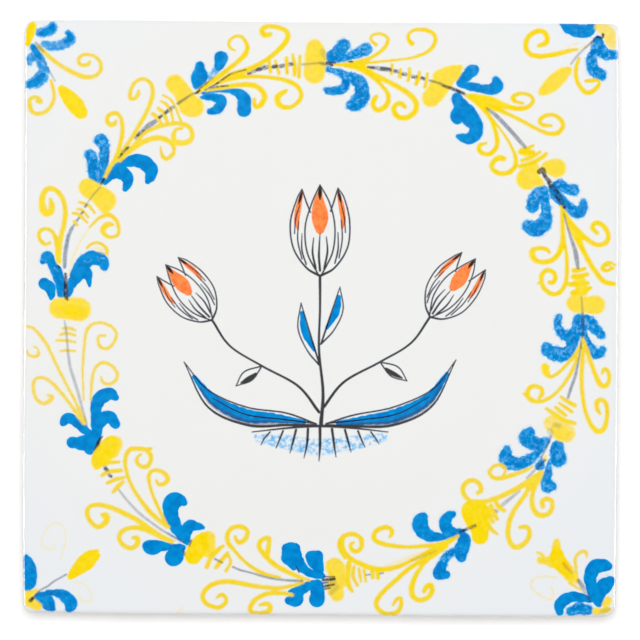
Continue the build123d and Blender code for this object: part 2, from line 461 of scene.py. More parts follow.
# %% The wreath, bottom right to bottom
wreath["bottom_right_to_bottom"] = {
    "flecked_blue": [
        [(462, 532, 6), (455, 532.5, 8.5), (448, 530, 11.5), (445, 523, 11.5), (448, 516.5, 9.5),
         (453.5, 514, 5.5)],
        [(457, 535.5, 4.5), (447, 536.5, 6), (437, 537, 8.5), (427.5, 535, 12), (421, 528, 15),
         (420.5, 521, 14.5), (424, 516.5, 7)],
        [(464.5, 538, 11), (463, 546, 14), (460.5, 552, 13.5), (461.5, 557.5, 9)],
        [(441.5, 567, 9), (440.5, 570, 11.5), (438.5, 574, 11.5), (446.5, 574.5, 8)],
    ],
    "grainy_blue": [
        [(455, 551, 6), (447.5, 555.5, 7.5), (443, 563, 8.5), (441, 568, 10)],
    ],
    "yellow": [
        [(458, 536, 2), (449, 541.5, 5), (440, 544.5, 5), (425, 546, 3.6), (408, 547, 3), (394, 546, 3.6),
         (382, 543.5, 4), (374.7, 539.5, 4.4), (374.3, 533.5, 4.2), (379, 529.3, 4.2), (386, 527.3, 4.2),
         (391.3, 529.7, 4), (391.8, 534, 3.8), (389.7, 537, 2.4)],
        [(442, 545, 6), (428, 552, 4), (415, 558.5, 3), (400, 566, 3.4), (385, 569.5, 4.5), (371, 568, 5),
         (361, 564, 4.6), (351, 559, 4.6), (344, 551, 4.2), (342, 543, 4), (344, 536.5, 4), (350, 534, 4),
         (357, 535.3, 4), (361.3, 540, 4.4), (361.3, 547, 4), (357, 551.3, 4), (352, 549.7, 4),
         (350.7, 544.7, 3.2), (353.5, 542.7, 2.2)],
        [(350, 533, 2), (343, 535.5, 2.2), (339, 542, 2.4), (339.7, 550, 2.4), (345, 558, 2.6)],
        [(445, 546, 6), (432, 555, 6.5), (420, 561.5, 4.5), (408, 569.5, 4), (396, 580, 4), (385, 590, 4),
         (377.5, 599, 4.4), (376.3, 605.5, 4.2), (381, 611.5, 4), (389, 614.3, 4.2), (397, 612, 4.4),
         (401, 605.5, 3.6), (400.5, 598.5, 3.6), (396.5, 599.5, 3), (393, 605, 2.2)],
        [(440, 550, 5), (428, 559, 4), (421, 567, 4), (415, 577, 4.4), (411.7, 588, 5), (413.3, 596.5, 5),
         (420, 600.3, 4.4), (428, 597.3, 4.4), (432.2, 590.5, 4.4), (430.5, 585.5, 5), (426.5, 587, 4.8),
         (424, 591.3, 3.6)],
        [(372.5, 569, 4), (372.5, 577.5, 3.4)],
        [(377.5, 570, 4), (378, 578, 3.4)],
        [(364, 570, 2.6), (366, 581.5, 2)],
        [(359, 569, 2.6), (360, 576, 2.6), (361, 581.5, 2)],
        [(354, 567, 3), (353.3, 577, 3), (357.5, 585.5, 2.6)],
        [(349, 563, 5), (347.5, 577, 5), (349, 586, 4.4), (352.5, 591.5, 2.4)],
    ],
    "soft_yellow": [
        [(334, 566.5, 18), (336, 569, 19), (337, 579, 16), (335, 588, 17), (337, 594.5, 14)],
        [(342, 570, 7), (344, 584, 6)],
    ],
    "faint_yellow": [
        [(440, 548, 4), (420, 555, 6.5), (400, 563, 7), (385, 567.5, 5)],
    ],
    "dark": [
        [(324, 576.5, 1.3), (334.5, 577, 1.3)],
        [(323, 580, 2.8), (329, 579.5, 3), (334.5, 579, 2.8)],
        [(323, 583, 1.4), (328, 582.5, 1.3)],
        [(324, 586.5, 2.6), (329, 585.5, 2.6), (334, 584.5, 1.8)],
        [(325, 589, 1.8), (330, 588, 1.3)],
    ],
    "ghost_stem": [
        [(326, 583, 10), (333, 583, 8)],
        [(331, 593, 5), (337, 587, 5)],
        [(436, 551, 2), (424, 556, 2.4), (412, 560.5, 2)],
    ],
    "stem": [
        [(383, 573, 1.6), (380, 573.5, 1.8)],
        [(370, 574.5, 1.6), (366, 575, 1.4)],
    ],
}
print("strokes:", stroke_count(wreath["bottom_right_to_bottom"]))

# %% The wreath, bottom to bottom left
wreath["bottom_to_bottom_left"] = {
    "blue": [
        [(310.5, 556.5, 10.5), (318, 556, 10.5)],
        [(313, 558, 15), (316, 563, 14), (319, 570, 9), (320.5, 574, 6)],
        [(318.7, 556, 8.5), (319, 566, 8.5)],
        [(286.5, 548.5, 9.5), (295.5, 548, 9.5)],
        [(322, 576, 6), (312, 574, 7.5), (304, 569, 9), (297, 561, 13), (291.5, 554.5, 19),
         (291, 550, 16)],
        [(287, 558, 11), (294, 567.5, 6)],
        [(317, 586, 13), (317.5, 594, 14), (317, 599.5, 15)],
        [(313, 584.5, 9), (303, 588.5, 10), (298, 594, 11), (296, 600, 13), (289, 600.5, 8)],
        [(297, 589, 6), (289.5, 591.5, 2.6)],
    ],
    "yellow": [
        [(309, 580, 2), (300, 577.5, 3.5), (291, 573.5, 4), (280, 568, 4.5), (271.5, 562, 4.6),
         (263.5, 553.5, 4.6), (259, 546.5, 4), (260.7, 541, 4), (266, 538.3, 4.2), (269.3, 539, 3.6),
         (268.5, 546, 4.2), (267.5, 553, 5)],
        [(280, 577.5, 2), (268, 575, 3), (258, 571, 3.6), (249, 565, 3), (241, 558, 3), (234, 550, 3.4),
         (228.3, 543, 4), (227.3, 535, 4), (231, 528.8, 4), (238, 526.3, 4), (245, 528.3, 4),
         (247.7, 533, 4), (245, 539.3, 4.2), (240, 542.5, 4), (236.3, 540.3, 3.4), (235, 536.5, 2.4)],
        [(303, 582, 2.5), (293, 585.5, 3), (280, 588, 3.4), (266, 587.5, 3.6), (251, 585.5, 4),
         (236, 582.5, 4.4), (224, 581.7, 4.2), (213, 584.3, 4.2), (205.3, 590, 4.2), (202.7, 597, 4.2),
         (206, 603.3, 4), (213, 606.8, 3.6), (220, 607.2, 3.6), (225.3, 603, 3.6), (225.8, 598, 3.4),
         (221.5, 594.7, 3.6), (217, 597.7, 2.2)],
        [(292, 595, 2.6), (284, 593.5, 3.4), (272, 593, 4), (262, 595.5, 4), (254, 601, 4.2),
         (250.3, 607.5, 4.2), (252, 612, 4), (260, 613.2, 3.6), (268, 611.7, 4.6), (270.3, 607, 4.4),
         (267, 603.8, 4.2), (259.5, 605, 2.2)],
        [(207, 567, 4), (210, 559, 4), (216, 551.5, 4.6), (223, 546, 2.6)],
        [(216, 567.5, 3.4), (221, 561, 4), (227.5, 553, 3)],
        [(227.5, 553.5, 2.6), (230.5, 562, 2.6), (226, 571, 2.6)],
    ],
    "strong_yellow": [
        [(203, 537, 10), (199, 546, 19), (193, 556, 17)],
    ],
    "soft_yellow": [
        [(208.5, 538, 14), (208.5, 551, 14)],
    ],
    "dark": [
        [(296, 566, 1.2), (299, 572, 1.6)],
    ],
    "stem": [
        [(302, 581, 2.4), (290, 580.5, 2.4), (275, 579, 2), (262, 576, 2.2), (248, 572, 1.6),
         (240, 570, 2), (233, 567, 2)],
        [(222, 562.5, 1.8), (215, 559, 2)],
    ],
}
print("strokes:", stroke_count(wreath["bottom_to_bottom_left"]))

# %% The wreath, bottom left to left bottom
wreath["bottom_left_to_left_bottom"] = {
    "blue": [
        [(187.5, 542, 6), (180.5, 534, 10), (174, 523, 13), (170.5, 511, 15), (173, 501.5, 17),
         (180, 500, 11.5), (184.5, 503, 5.5)],
        [(186.5, 537, 8), (187, 529, 12), (191, 525.5, 11), (198, 526.5, 7.5), (203, 527.5, 4)],
        [(183, 547.5, 6), (171, 547, 7), (160, 546, 10.5), (151.5, 547.5, 15), (147.5, 546, 9.5)],
        [(176.5, 552, 13), (173, 558, 16), (178, 557.5, 11)],
        [(179.5, 548.5, 9), (179, 556, 9)],
    ],
    "yellow": [
        [(167, 527, 3), (163, 518, 3), (158, 507, 3), (153.5, 497, 3), (150, 486, 3), (148.7, 477, 3.4),
         (151, 471.7, 3.4), (157, 470.2, 3.4), (164, 473.2, 4), (167.7, 478.5, 4.4), (165, 483.3, 4),
         (159, 484.5, 3.2), (156, 480.5, 2.2)],
        [(168, 527, 3.4), (160, 521, 4), (150, 512, 4), (142, 502, 3.6), (134, 490, 3.4), (128, 477, 3.2),
         (125.2, 464, 3.4), (126.3, 454.5, 4), (130.5, 449.5, 4), (138, 448.7, 4), (146, 450, 4.2),
         (150.3, 455, 4.4), (150.7, 461, 3.6), (147, 466.3, 4), (141, 466.3, 3.8), (136.7, 462, 3.2),
         (137.7, 457, 2.8), (141, 454.5, 1.8)],
        [(146, 449.5, 3), (151, 448.5, 2.6)],
        [(172, 541.5, 4), (160, 536, 5), (148, 528, 5), (137, 520, 4.6), (124, 513.3, 4.6),
         (113, 508.3, 4.4), (102, 505.2, 4), (93, 505.2, 3.8), (87.7, 509, 4), (87.3, 515, 4),
         (91, 522, 4), (97, 526.7, 4.2), (103, 524.8, 4.8), (106.7, 520, 6), (105.7, 516, 6.6),
         (101.5, 514.5, 2.6)],
        [(165, 539, 4), (155, 534, 4.4), (146, 530, 4.2), (136, 527.7, 4), (127, 528.7, 4),
         (120.5, 533, 4), (119.3, 539, 4), (123, 544.7, 4.2), (130, 548.2, 4.2), (136, 545.6, 4.4),
         (137.8, 540.5, 5), (136.5, 537.9, 4.6), (132.5, 538, 2.4)],
        [(113, 492.5, 2.6), (117, 487.5, 4.4), (123, 482, 3)],
        [(107.5, 483, 3), (114, 480, 3.6), (123.5, 477.7, 3)],
        [(102, 475.5, 3), (109, 471.7, 3.8), (121, 470.5, 3.4)],
        [(103, 464.5, 4), (111, 462.5, 3.4), (119, 462, 2.4)],
    ],
    "strong_yellow": [
        [(111, 443, 15), (105, 452, 20), (98, 461, 14), (97, 466, 8)],
    ],
    "soft_yellow": [
        [(114, 444, 17), (111, 450, 18)],
    ],
    "dark": [
        [(94.5, 449.5, 1.6), (97.5, 444.5, 3.4), (99.5, 440, 3), (102, 436.5, 1.6)],
    ],
    "faint_stem": [
        [(180, 540, 2.5), (165, 532, 2.4), (152, 523, 2.4), (142, 515.5, 2.6), (134, 508, 2.6),
         (126, 499, 2.4), (119, 490, 2)],
    ],
    "half_dark": [
        [(105, 468, 4), (107, 470, 3.6)],
        [(109.5, 475, 3.6), (111, 476.5, 3)],
    ],
    "stem": [
        [(184, 543, 1.6), (174, 537, 2), (165, 532, 1.4)],
        [(191, 540.5, 2.6), (189.5, 545.5, 2)],
        [(183.5, 549, 2.6), (184.5, 555, 1.8)],
    ],
    "ghost_blue": [
        [(169, 534, 5), (178, 541, 6), (188, 546, 4)],
    ],
}
print("strokes:", stroke_count(wreath["bottom_left_to_left_bottom"]))

# %% The wreath, left bottom to left
wreath["left_bottom_to_left"] = {
    "blue": [
        [(96.5, 437, 9), (97, 424, 12), (96, 411, 10.5), (97.5, 402, 13), (104, 395.5, 13.5),
         (111, 394, 11), (115.5, 397.5, 6.5)],
        [(99, 424, 11), (104, 418, 12.5), (110.5, 417.5, 12), (115.5, 424, 9)],
        [(91, 435, 7), (83, 428.5, 8.5), (75, 421.5, 9), (67.5, 418, 10.5), (63, 423, 7)],
        [(93, 442, 12), (86, 443, 16), (77.5, 443, 11.5), (72.5, 442.5, 11)],
        [(93, 441, 12), (90, 449, 12)],
    ],
    "yellow": [
        [(83.5, 400, 1.4), (83, 385, 1.8), (82.5, 370, 2.2), (83.5, 355, 2.6), (84.5, 342, 2.8),
         (86.5, 331, 3.2), (91, 325.3, 3.2), (98, 322.7, 2.6), (106, 324, 3), (113, 328, 3),
         (116.3, 334, 3), (114.5, 341, 3), (110, 347, 3.2), (105, 348.8, 3), (99.7, 346, 3.4),
         (97.7, 340, 2.6), (99.2, 336, 3), (105, 335.5, 2.6)],
        [(90.5, 400, 2), (91.5, 385, 3), (93, 374, 3), (97, 366, 3), (103, 362.7, 3.6), (110, 364.7, 3.6),
         (115.8, 370.5, 3.6), (117.3, 377, 3.6), (113.5, 382.3, 3.4), (108, 384.3, 3.4), (102.7, 382, 3),
         (101, 377, 1.4)],
        [(84, 423, 4), (76, 412.5, 4.4), (69, 403, 3), (61, 392.5, 4), (52, 383, 3.6), (44, 378, 3.4),
         (36.5, 378.5, 3.4), (33.3, 384, 3.4), (34, 393, 3.6), (37.5, 400.3, 3.8), (43.5, 403.3, 4),
         (50, 400.8, 4.4), (51.8, 397, 4.4), (47.5, 395, 2.4)],
        [(84, 421, 5), (76, 403, 3), (66, 384, 3.2), (56, 364, 3.2), (47, 345, 3.6), (38, 333, 3.2),
         (33, 328, 3), (27, 326.5, 2.6)],
        [(27, 351, 1.6), (29, 355, 3), (34, 356.5, 3), (38.3, 355, 3.2), (37.5, 349, 1.8),
         (34, 346.5, 1.4)],
        [(60.5, 351, 2), (67, 350.5, 2.6), (75, 351, 2)],
        [(56.5, 340.5, 2.6), (65, 340.5, 3), (75, 342, 2.4)],
        [(60.5, 334.5, 3), (68, 333.5, 3.2), (75, 335.3, 2.6)],
        [(62.5, 328.5, 2.2), (70, 328.2, 3), (75.5, 330.5, 2.2)],
    ],
    "soft_yellow": [
        [(59.5, 308, 21), (79, 309.5, 24)],
    ],
    "pooled_yellow": [
        [(62, 308.5, 13), (70, 310.5, 16), (83, 312.5, 13)],
    ],
    "faint_stem": [
        [(87, 425, 2), (83, 411, 2.4), (79, 396, 3), (74.5, 381, 3), (70, 366, 3), (68, 352, 2.6),
         (67, 340, 2), (66, 330, 2.4), (64.5, 321, 1.6)],
    ],
}
print("strokes:", stroke_count(wreath["left_bottom_to_left"]))

# %% The wreath, left to left top
wreath["left_to_left_top"] = {
    "blue": [
        [(44.5, 283.5, 11.5), (49.5, 287.5, 11), (51.5, 294, 7.5), (51, 298.5, 3.6)],
        [(73, 285, 6), (78, 276, 11), (84.5, 271.5, 13), (88.5, 278, 7), (89.5, 286, 2.6)],
    ],
    "flecked_blue": [
        [(61, 294, 7), (60, 283, 9.5), (57, 273, 10.5), (51.5, 263, 8.5), (47.5, 257, 11),
         (42.5, 261.5, 5)],
        [(69, 295, 4), (72, 283, 8), (77, 273, 12), (83, 264, 14), (90, 258.5, 14), (98, 258.5, 13),
         (103.5, 262, 10.5), (104.5, 267, 7.5)],
    ],
    "scraped": [
        [(84, 260.5, 0.9), (88, 262.5, 1.1), (92, 259.5, 0.8)],
        [(97.5, 256.5, 1.1), (99, 261, 0.9)],
        [(101, 258, 1.8), (105, 258.5, 2)],
        [(42, 259.5, 2), (46, 261, 1.6)],
        [(54.5, 268, 1.6), (58, 271.5, 1.4)],
    ],
    "yellow": [
        [(58.6, 261, 5), (58.6, 248, 6), (61, 236, 4.4), (64, 224, 4.4), (65.3, 213, 4.4), (64, 203, 4),
         (60.7, 195.5, 4.4), (55, 189.7, 4.4), (48.5, 188.7, 5), (43.8, 193, 5), (42, 202, 5.8),
         (43.3, 210, 7.4), (47, 213.3, 6.6), (50.9, 211.2, 6.6), (51.7, 205, 5.4), (50.3, 199.5, 3)],
        [(58, 258, 5), (57, 246, 4.4), (55.5, 238, 4), (52, 231.7, 3.4), (46, 228.7, 3),
         (40.7, 230.7, 3.2), (38.8, 235.5, 3.4), (41, 241.3, 3.4), (45.5, 244.3, 3.2), (49.5, 243, 3)],
        [(90, 227, 1.8), (97, 219.7, 2.4), (103, 216.3, 3), (110, 215.3, 4), (116, 220.3, 3.6),
         (118.7, 228, 3), (117.7, 234.7, 2.8), (111, 237.3, 2.8), (104.8, 234.6, 3.8),
         (102.8, 229.8, 5.4), (105.2, 226.2, 5.8), (109, 224.4, 5), (113, 224.7, 2.4)],
        [(87, 248, 2), (91, 244.3, 2.4), (97, 242.7, 2.4), (103, 245, 2.6), (106.7, 249.5, 3),
         (107, 254, 2.6)],
        [(74, 221.5, 2.6), (77, 225, 2.6)],
        [(73, 213.3, 2.6), (79, 214.7, 2.8), (87, 222.5, 2)],
        [(77, 208.7, 2), (82, 210.3, 2.6), (88, 217, 2)],
        [(79, 202, 2), (85, 203.7, 2.6), (90, 207, 2.6), (94.5, 213, 1.8)],
    ],
    "faint_yellow": [
        [(69, 274, 2), (73, 258, 3), (78, 246, 2.4), (83.5, 236, 2.2), (90, 227, 2.2)],
        [(97, 249, 6), (104, 252, 5)],
    ],
    "soft_yellow": [
        [(87.5, 187.5, 18), (91, 190, 19), (97.5, 193.5, 19), (105.5, 200.5, 22)],
        [(104, 207, 12), (106, 211, 8)],
    ],
    "dark": [
        [(67.5, 299.5, 2.4), (66, 296, 4.4), (65.7, 285, 3.8), (65.5, 274, 2.6)],
        [(58, 266, 1.6), (60, 268, 1.6)],
    ],
    "stem": [
        [(64.5, 267, 3.2), (65, 255, 3.6), (66.5, 245, 3.4), (68.5, 236, 3.4), (71.5, 229, 3.2),
         (74, 225, 2.2)],
        [(77, 220.5, 2.4), (79, 218, 2.4)],
        [(81.5, 213.5, 2.4), (83, 212, 2.4)],
        [(85, 207, 2.4), (86.5, 204.5, 2.4)],
    ],
    "faint_stem": [
        [(88, 202, 1.6), (94, 194, 1.6), (100, 187.5, 1.8)],
    ],
    "ghost_blue": [
        [(64.5, 266, 5), (65, 255, 6), (66.5, 245, 5.4), (68.5, 236, 5), (71.5, 229, 4)],
    ],
}
print("strokes:", stroke_count(wreath["left_to_left_top"]))

# %% The wreath, left top to top left
wreath["left_top_to_top_left"] = {
    "grainy_blue": [
        [(98, 180, 7), (94, 173, 12), (93, 163, 10), (90.5, 155, 11)],
        [(101, 177, 8), (103, 166, 9), (104, 155, 9), (104, 146, 9.5), (101.5, 140.5, 12), (97, 141, 6)],
    ],
    "blue": [
        [(105, 182.5, 5), (111, 175, 9.5), (119, 171.5, 14), (126, 176, 12.5), (128, 182.5, 9.5),
         (125, 189, 5.5)],
        [(117, 167, 8), (125, 163, 9), (134, 160.5, 12), (143, 162, 14), (150, 168, 14), (151, 175, 11),
         (147.5, 181.5, 5.5)],
    ],
    "yellow": [
        [(105, 177, 3), (110, 167, 3.6), (115, 159, 3.6), (119, 148, 3.4), (122, 136, 4),
         (122.3, 125, 3.6), (120.3, 117, 3.4), (115.5, 113.3, 4), (109.3, 114.8, 3.6), (107, 120, 3.6),
         (109.7, 124.3, 4.6), (114.3, 124, 4), (116, 121, 2.4)],
        [(116, 161, 3), (124, 149, 3.6), (131, 139, 3.6), (137, 129, 3.6), (144, 117, 3.8),
         (150, 104, 3.8), (152.7, 93, 3.6), (151, 84.3, 3.4), (146, 79.8, 3), (140, 79.3, 3),
         (133.7, 84, 3), (130.3, 92, 3.2), (130.5, 98.3, 3.6), (135, 98.3, 3.6), (138, 94, 3.6),
         (138.5, 90.7, 2)],
        [(120, 160, 4), (130, 150, 4), (137, 142, 4), (143, 134, 3.6), (152, 129, 3.6), (162, 125.5, 4),
         (173, 123.5, 3.6), (183, 124, 4), (190, 128, 4), (192.3, 135, 4), (189.5, 141, 5), (183, 143, 5),
         (175.5, 142, 6), (173.3, 136, 4), (176, 129.7, 3.4), (182, 128.3, 2)],
        [(122, 157, 4), (134, 147, 6), (144, 141.5, 5), (155, 138, 5), (164, 139, 4.8), (171, 143, 4.2),
         (174.3, 149, 3), (172.3, 154.8, 3.6), (167, 158.7, 3.8), (162.7, 156.3, 3.4), (161, 151, 1.8),
         (160.5, 147, 1.4)],
        [(152.5, 114, 3.6), (157, 117, 4), (161.5, 124, 3)],
        [(158, 108.5, 3), (163, 112.5, 3.6), (167, 121, 3)],
        [(161, 101.3, 2), (167, 105, 2.6), (171, 112, 2.6), (173, 121, 2)],
        [(163, 95.3, 2), (170, 99.3, 2.2), (175, 106, 2.2), (178, 114, 2), (181, 121, 2)],
    ],
    "soft_yellow": [
        [(175, 83.5, 18.5), (181, 90.5, 18), (186, 99, 20), (189, 105, 22), (193.5, 107, 21)],
    ],
    "dark": [
        [(101, 184, 2), (104, 179, 2.4)],
    ],
    "stem": [
        [(144, 129, 3.6), (149, 125.2, 5), (155, 121.6, 4.6)],
        [(178.2, 103.3, 3.2), (183, 100, 2.6), (190, 95.5, 2.2)],
        [(109, 152, 2), (107.5, 161, 2)],
    ],
    "half_dark": [
        [(118.7, 157.6, 2), (123.5, 152, 2.6), (128.4, 147, 2.4)],
        [(135.6, 138, 2.6), (140, 133, 3.2), (144.4, 129, 3)],
        [(159.6, 117.4, 3.2), (161.2, 116.1, 3.2)],
        [(165.6, 112.6, 3.6), (167.8, 110.9, 3.6)],
        [(171, 108.6, 3.6), (173, 107, 3.6)],
    ],
}
print("strokes:", stroke_count(wreath["left_top_to_top_left"]))
print("wreath units:", len(wreath))

# %% [markdown]
# ### The corners
# Each corner holds a quarter of a flower, made to meet three more tiles on a wall: blue leaves, two
# scrolls and a yellow bud that points to the middle.

# %% The top left corner
corners = {}
corners["top_left"] = {
    "pale_blue": [
        [(40, 32.5, 9), (45, 32, 9.5), (51, 29.5, 10.5), (53, 25.5, 7.5)],
        [(44.5, 44, 6), (51, 46, 8.5), (59, 45.5, 9), (66.5, 42.5, 10), (71, 38.5, 9), (68, 32.5, 5.5)],
        [(32.5, 46, 5), (36, 53, 9), (41, 62, 9), (44, 71, 10), (40, 79, 13), (34, 83, 10), (29, 84, 9)],
        [(36, 55, 8), (31, 58, 8), (29.5, 63, 5)],
    ],
    "flecked_blue": [
        [(41, 34, 5), (46, 32, 6.5), (51, 29, 7.5), (52.5, 26, 5)],
        [(66, 41, 4), (70.5, 38, 6.5), (68, 33, 4)],
        [(33, 46.5, 5), (36, 51, 6.5), (40, 58, 4)],
        [(43, 75, 5), (36, 82, 7), (30, 84, 7)],
    ],
    "yellow": [
        [(38, 46, 3), (45, 53, 4), (53, 60, 4), (63, 67, 4), (74, 73, 4.6), (85, 77, 4.6), (94, 76.3, 4),
         (100.3, 71, 3.6), (100.8, 64, 3.6), (97.3, 58.3, 3.4), (91, 55, 3), (82.5, 55, 3.2),
         (78.5, 60, 3.4), (81, 64.7, 3.6), (87, 64.8, 3.8), (90, 62, 2.6)],
        [(51, 81, 3), (53.5, 90, 3.4), (54, 98, 3.4), (51, 106, 3.6), (44.5, 112.3, 3.8), (36, 113.7, 4),
         (31, 109.7, 4.4), (29.5, 102, 4), (31.7, 98, 3.6), (37.5, 97.7, 3.6), (41, 102, 3.6),
         (36.5, 101.5, 2.2)],
    ],
    "strong_yellow": [
        [(32.5, 25.5, 8), (30.5, 32, 9.5), (28.5, 39, 7.5), (27.5, 44, 5)],
        [(61.5, 89, 8), (68, 96.5, 14.5), (76, 106, 17), (81, 112.5, 13.5)],
    ],
    "faint_stem": [
        [(36, 43, 3), (39, 46.5, 4), (43, 51, 2.4)],
        [(44, 61, 1.2), (50, 72, 1.6), (55, 81, 1.2)],
    ],
}
print("strokes:", stroke_count(corners["top_left"]))

# %% The top right corner
corners["top_right"] = {
    "soft_yellow": [
        [(569, 70, 7), (563, 74, 13), (553, 83, 16), (545, 90, 11), (541.5, 92.5, 7)],
    ],
    "thin_yellow": [
        [(598, 27, 8), (604, 29, 12), (609, 34, 13), (610.5, 41, 11), (613, 46.5, 6)],
    ],
    "flecked_blue": [
        [(562, 24, 4), (569, 28, 11), (578, 30.5, 13), (587, 31, 12.5), (592, 27, 9)],
    ],
    "grainy_blue": [
        [(598, 41, 8.5), (598, 47, 13), (604, 53, 11), (610, 55, 9.5), (615, 55, 7.5)],
        [(593, 52, 6), (591.5, 59, 9.5), (592.5, 67, 10.5), (597, 73, 11.5), (602, 75.5, 9)],
    ],
    "yellow": [
        [(577, 49.5, 2), (571, 50.5, 3.6), (560, 53.3, 4.4), (550, 55.3, 4.4), (540, 56.3, 4.4),
         (531.3, 54.7, 4.4), (526.3, 49, 4.6), (526.3, 41, 4.4), (530.7, 34.7, 4.6), (538, 31, 4.6),
         (544.3, 32.5, 4.6), (547.2, 38, 4.6), (545.5, 43, 5), (539, 45.8, 3.6)],
        [(579, 58.5, 2), (576.5, 66, 3.4), (575.7, 74, 3.6), (577.5, 82, 3.8), (581.5, 88.7, 4),
         (586, 92.5, 4.2), (592, 91.7, 4), (597.3, 87, 4), (599.3, 83, 2.6), (597, 80.3, 2.6),
         (591, 80.7, 3.8), (585.5, 81, 2.6)],
    ],
    "faint_yellow": [
        [(592, 43, 3), (582, 48, 2.6), (574, 50, 3)],
        [(568, 47, 2), (579, 42.5, 2)],
    ],
    "dark": [
        [(603, 34.5, 2.6), (602, 37.5, 2.8), (597, 37, 2.2)],
    ],
    "stem": [
        [(597, 37, 2.4), (591, 43, 2.2), (585, 48, 2)],
    ],
    "faint_stem": [
        [(585, 48, 2), (579, 54, 2.5), (574, 60, 2.5), (571, 64, 2)],
    ],
}
print("strokes:", stroke_count(corners["top_right"]))

# %% The bottom right corner
corners["bottom_right"] = {
    "soft_yellow": [
        [(608, 600.5, 8), (605.5, 605.5, 7.5)],
        [(595.5, 611, 7), (603, 611, 6.5), (608.5, 609.5, 5)],
        [(556.5, 542, 7), (556.5, 549, 10)],
        [(540, 560, 7), (547, 561, 9), (554, 562, 13)],
        [(564, 567, 15), (571, 576, 12.5), (576, 580.5, 7)],
        [(537, 552.5, 2.4), (541, 554, 3.6), (545, 559, 4)],
    ],
    "blue": [
        [(599, 604, 7), (594, 594, 11), (591, 584, 11.5), (590.5, 575, 13), (595, 567, 14),
         (602, 565.5, 13), (608, 566, 9)],
        [(599, 600, 9), (600.5, 593, 11), (604, 586.5, 15), (610.5, 581, 9.5)],
        [(604.5, 586, 11), (609, 586, 7)],
        [(591, 600, 5), (580, 597.5, 9), (571, 597, 10.5), (562.5, 601.5, 11.5), (559, 607, 10),
         (560, 612, 7)],
    ],
    "grainy_blue": [
        [(571, 611.5, 8), (579, 608.5, 11), (588, 610.5, 9)],
    ],
    "ghost_blue": [
        [(565.5, 610, 5), (567.5, 605, 6), (573, 602, 4), (581, 602, 3), (589, 604.5, 5), (593, 608, 4)],
        [(599, 582, 6), (603, 577, 5), (609, 574.5, 3)],
    ],
    "strong_yellow": [
        [(557, 552, 11), (557.5, 559, 16), (564, 568, 14), (568, 573, 11)],
    ],
    "yellow": [
        [(577, 577, 3), (575.7, 567, 3.2), (575.3, 559, 3.4), (578, 554, 3.4), (583, 551.5, 3.6),
         (586, 552.7, 4), (587, 557, 2)],
        [(570, 583, 3), (576, 587, 2.6), (581, 590, 1.6)],
    ],
    "faint_yellow": [
        [(556, 577.5, 2), (549, 576.7, 2.6), (540, 576.7, 2.6), (533.3, 580, 2.6), (530.8, 585.5, 2.6),
         (534, 590.5, 2), (540, 595, 2.2), (547, 598.7, 2.2), (552, 598.7, 2.6), (553.3, 594, 2.6),
         (551.5, 587, 2.2)],
    ],
    "stem": [
        [(583, 587, 2.4), (579, 581, 3.6)],
    ],
    "faint_stem": [
        [(590, 601, 3), (586, 593, 4.6), (581, 584, 5), (578.5, 580.5, 4)],
    ],
    "faint_orange": [
        [(563.5, 563, 2.6), (567, 567.5, 4), (570, 571, 2.4)],
    ],
    "ghost_stem": [
        [(564, 564, 2.4), (567, 568, 3), (572, 573, 2.4)],
        [(601, 611.5, 3), (605, 610.5, 5), (610, 609, 3)],
    ],
}
print("strokes:", stroke_count(corners["bottom_right"]))

# %% The bottom left corner
corners["bottom_left"] = {
    "soft_yellow": [
        [(28.5, 594.5, 8), (30.5, 602, 11), (38, 606.5, 8)],
        [(31, 593, 6), (36.5, 590.5, 4)],
    ],
    "flecked_blue": [
        [(26, 556.5, 4), (28.5, 563, 10), (30.5, 573, 12.5), (30, 582, 11.5), (28, 588, 7.5)],
        [(38, 597, 7), (44, 599, 14), (49, 604.5, 12), (53, 609, 4.5)],
        [(47, 592.5, 5), (55, 593, 6.5), (62, 594.5, 9.5), (68, 599, 12), (71, 604.5, 12), (69, 609, 7)],
    ],
    "strong_yellow": [
        [(70.5, 576.5, 7), (78, 569, 13), (86.5, 561.5, 17), (92, 556, 13)],
        [(90, 554.5, 9), (96.8, 551.6, 5)],
        [(94, 558, 9), (97.8, 555.5, 5)],
    ],
    "palest_yellow": [
        [(177.5, 612.5, 3.4), (183, 607.5, 2)],
        [(60, 560, 2), (64, 548, 2.2), (66, 537, 2.2), (64.3, 529, 2.4), (60, 523.7, 2.6),
         (54, 523.2, 2.6), (48.2, 527, 2.4), (44.2, 534, 2.4), (41.7, 541, 2.2), (42.7, 546.7, 2.6),
         (48, 548.8, 3), (53.5, 548.3, 3), (55, 543, 1.4)],
        [(73, 582, 2.2), (81, 583, 2.4), (87, 587, 2.4), (91, 593, 2.4), (91.7, 600, 2.6),
         (88, 601.8, 2.8), (82, 600.8, 3), (79, 596, 3.2), (78.7, 591, 2)],
    ],
    "dark": [
        [(30.5, 600.5, 4), (33, 598, 3)],
    ],
    "stem": [
        [(33, 598, 2), (40, 590.5, 1.8), (48, 586, 1.6), (53, 582, 1.8), (60, 578, 1.6),
         (66, 574.5, 1.8)],
        [(50.5, 594, 1.2), (57, 589.7, 1)],
    ],
}
print("strokes:", stroke_count(corners["bottom_left"]))
print("corner strokes:", sum(map(stroke_count, corners.values())))

# %% [markdown]
# ### The middle
# The middle carries a spray of three tulips on a tuft of grass, one of the oldest stock motifs of such
# tiles. It is drawn in thin dark line with hatching, blacked in here and there, and touched with orange
# and blue. One flower is drawn once, about its own foot, and set down three times at other sizes and turns.

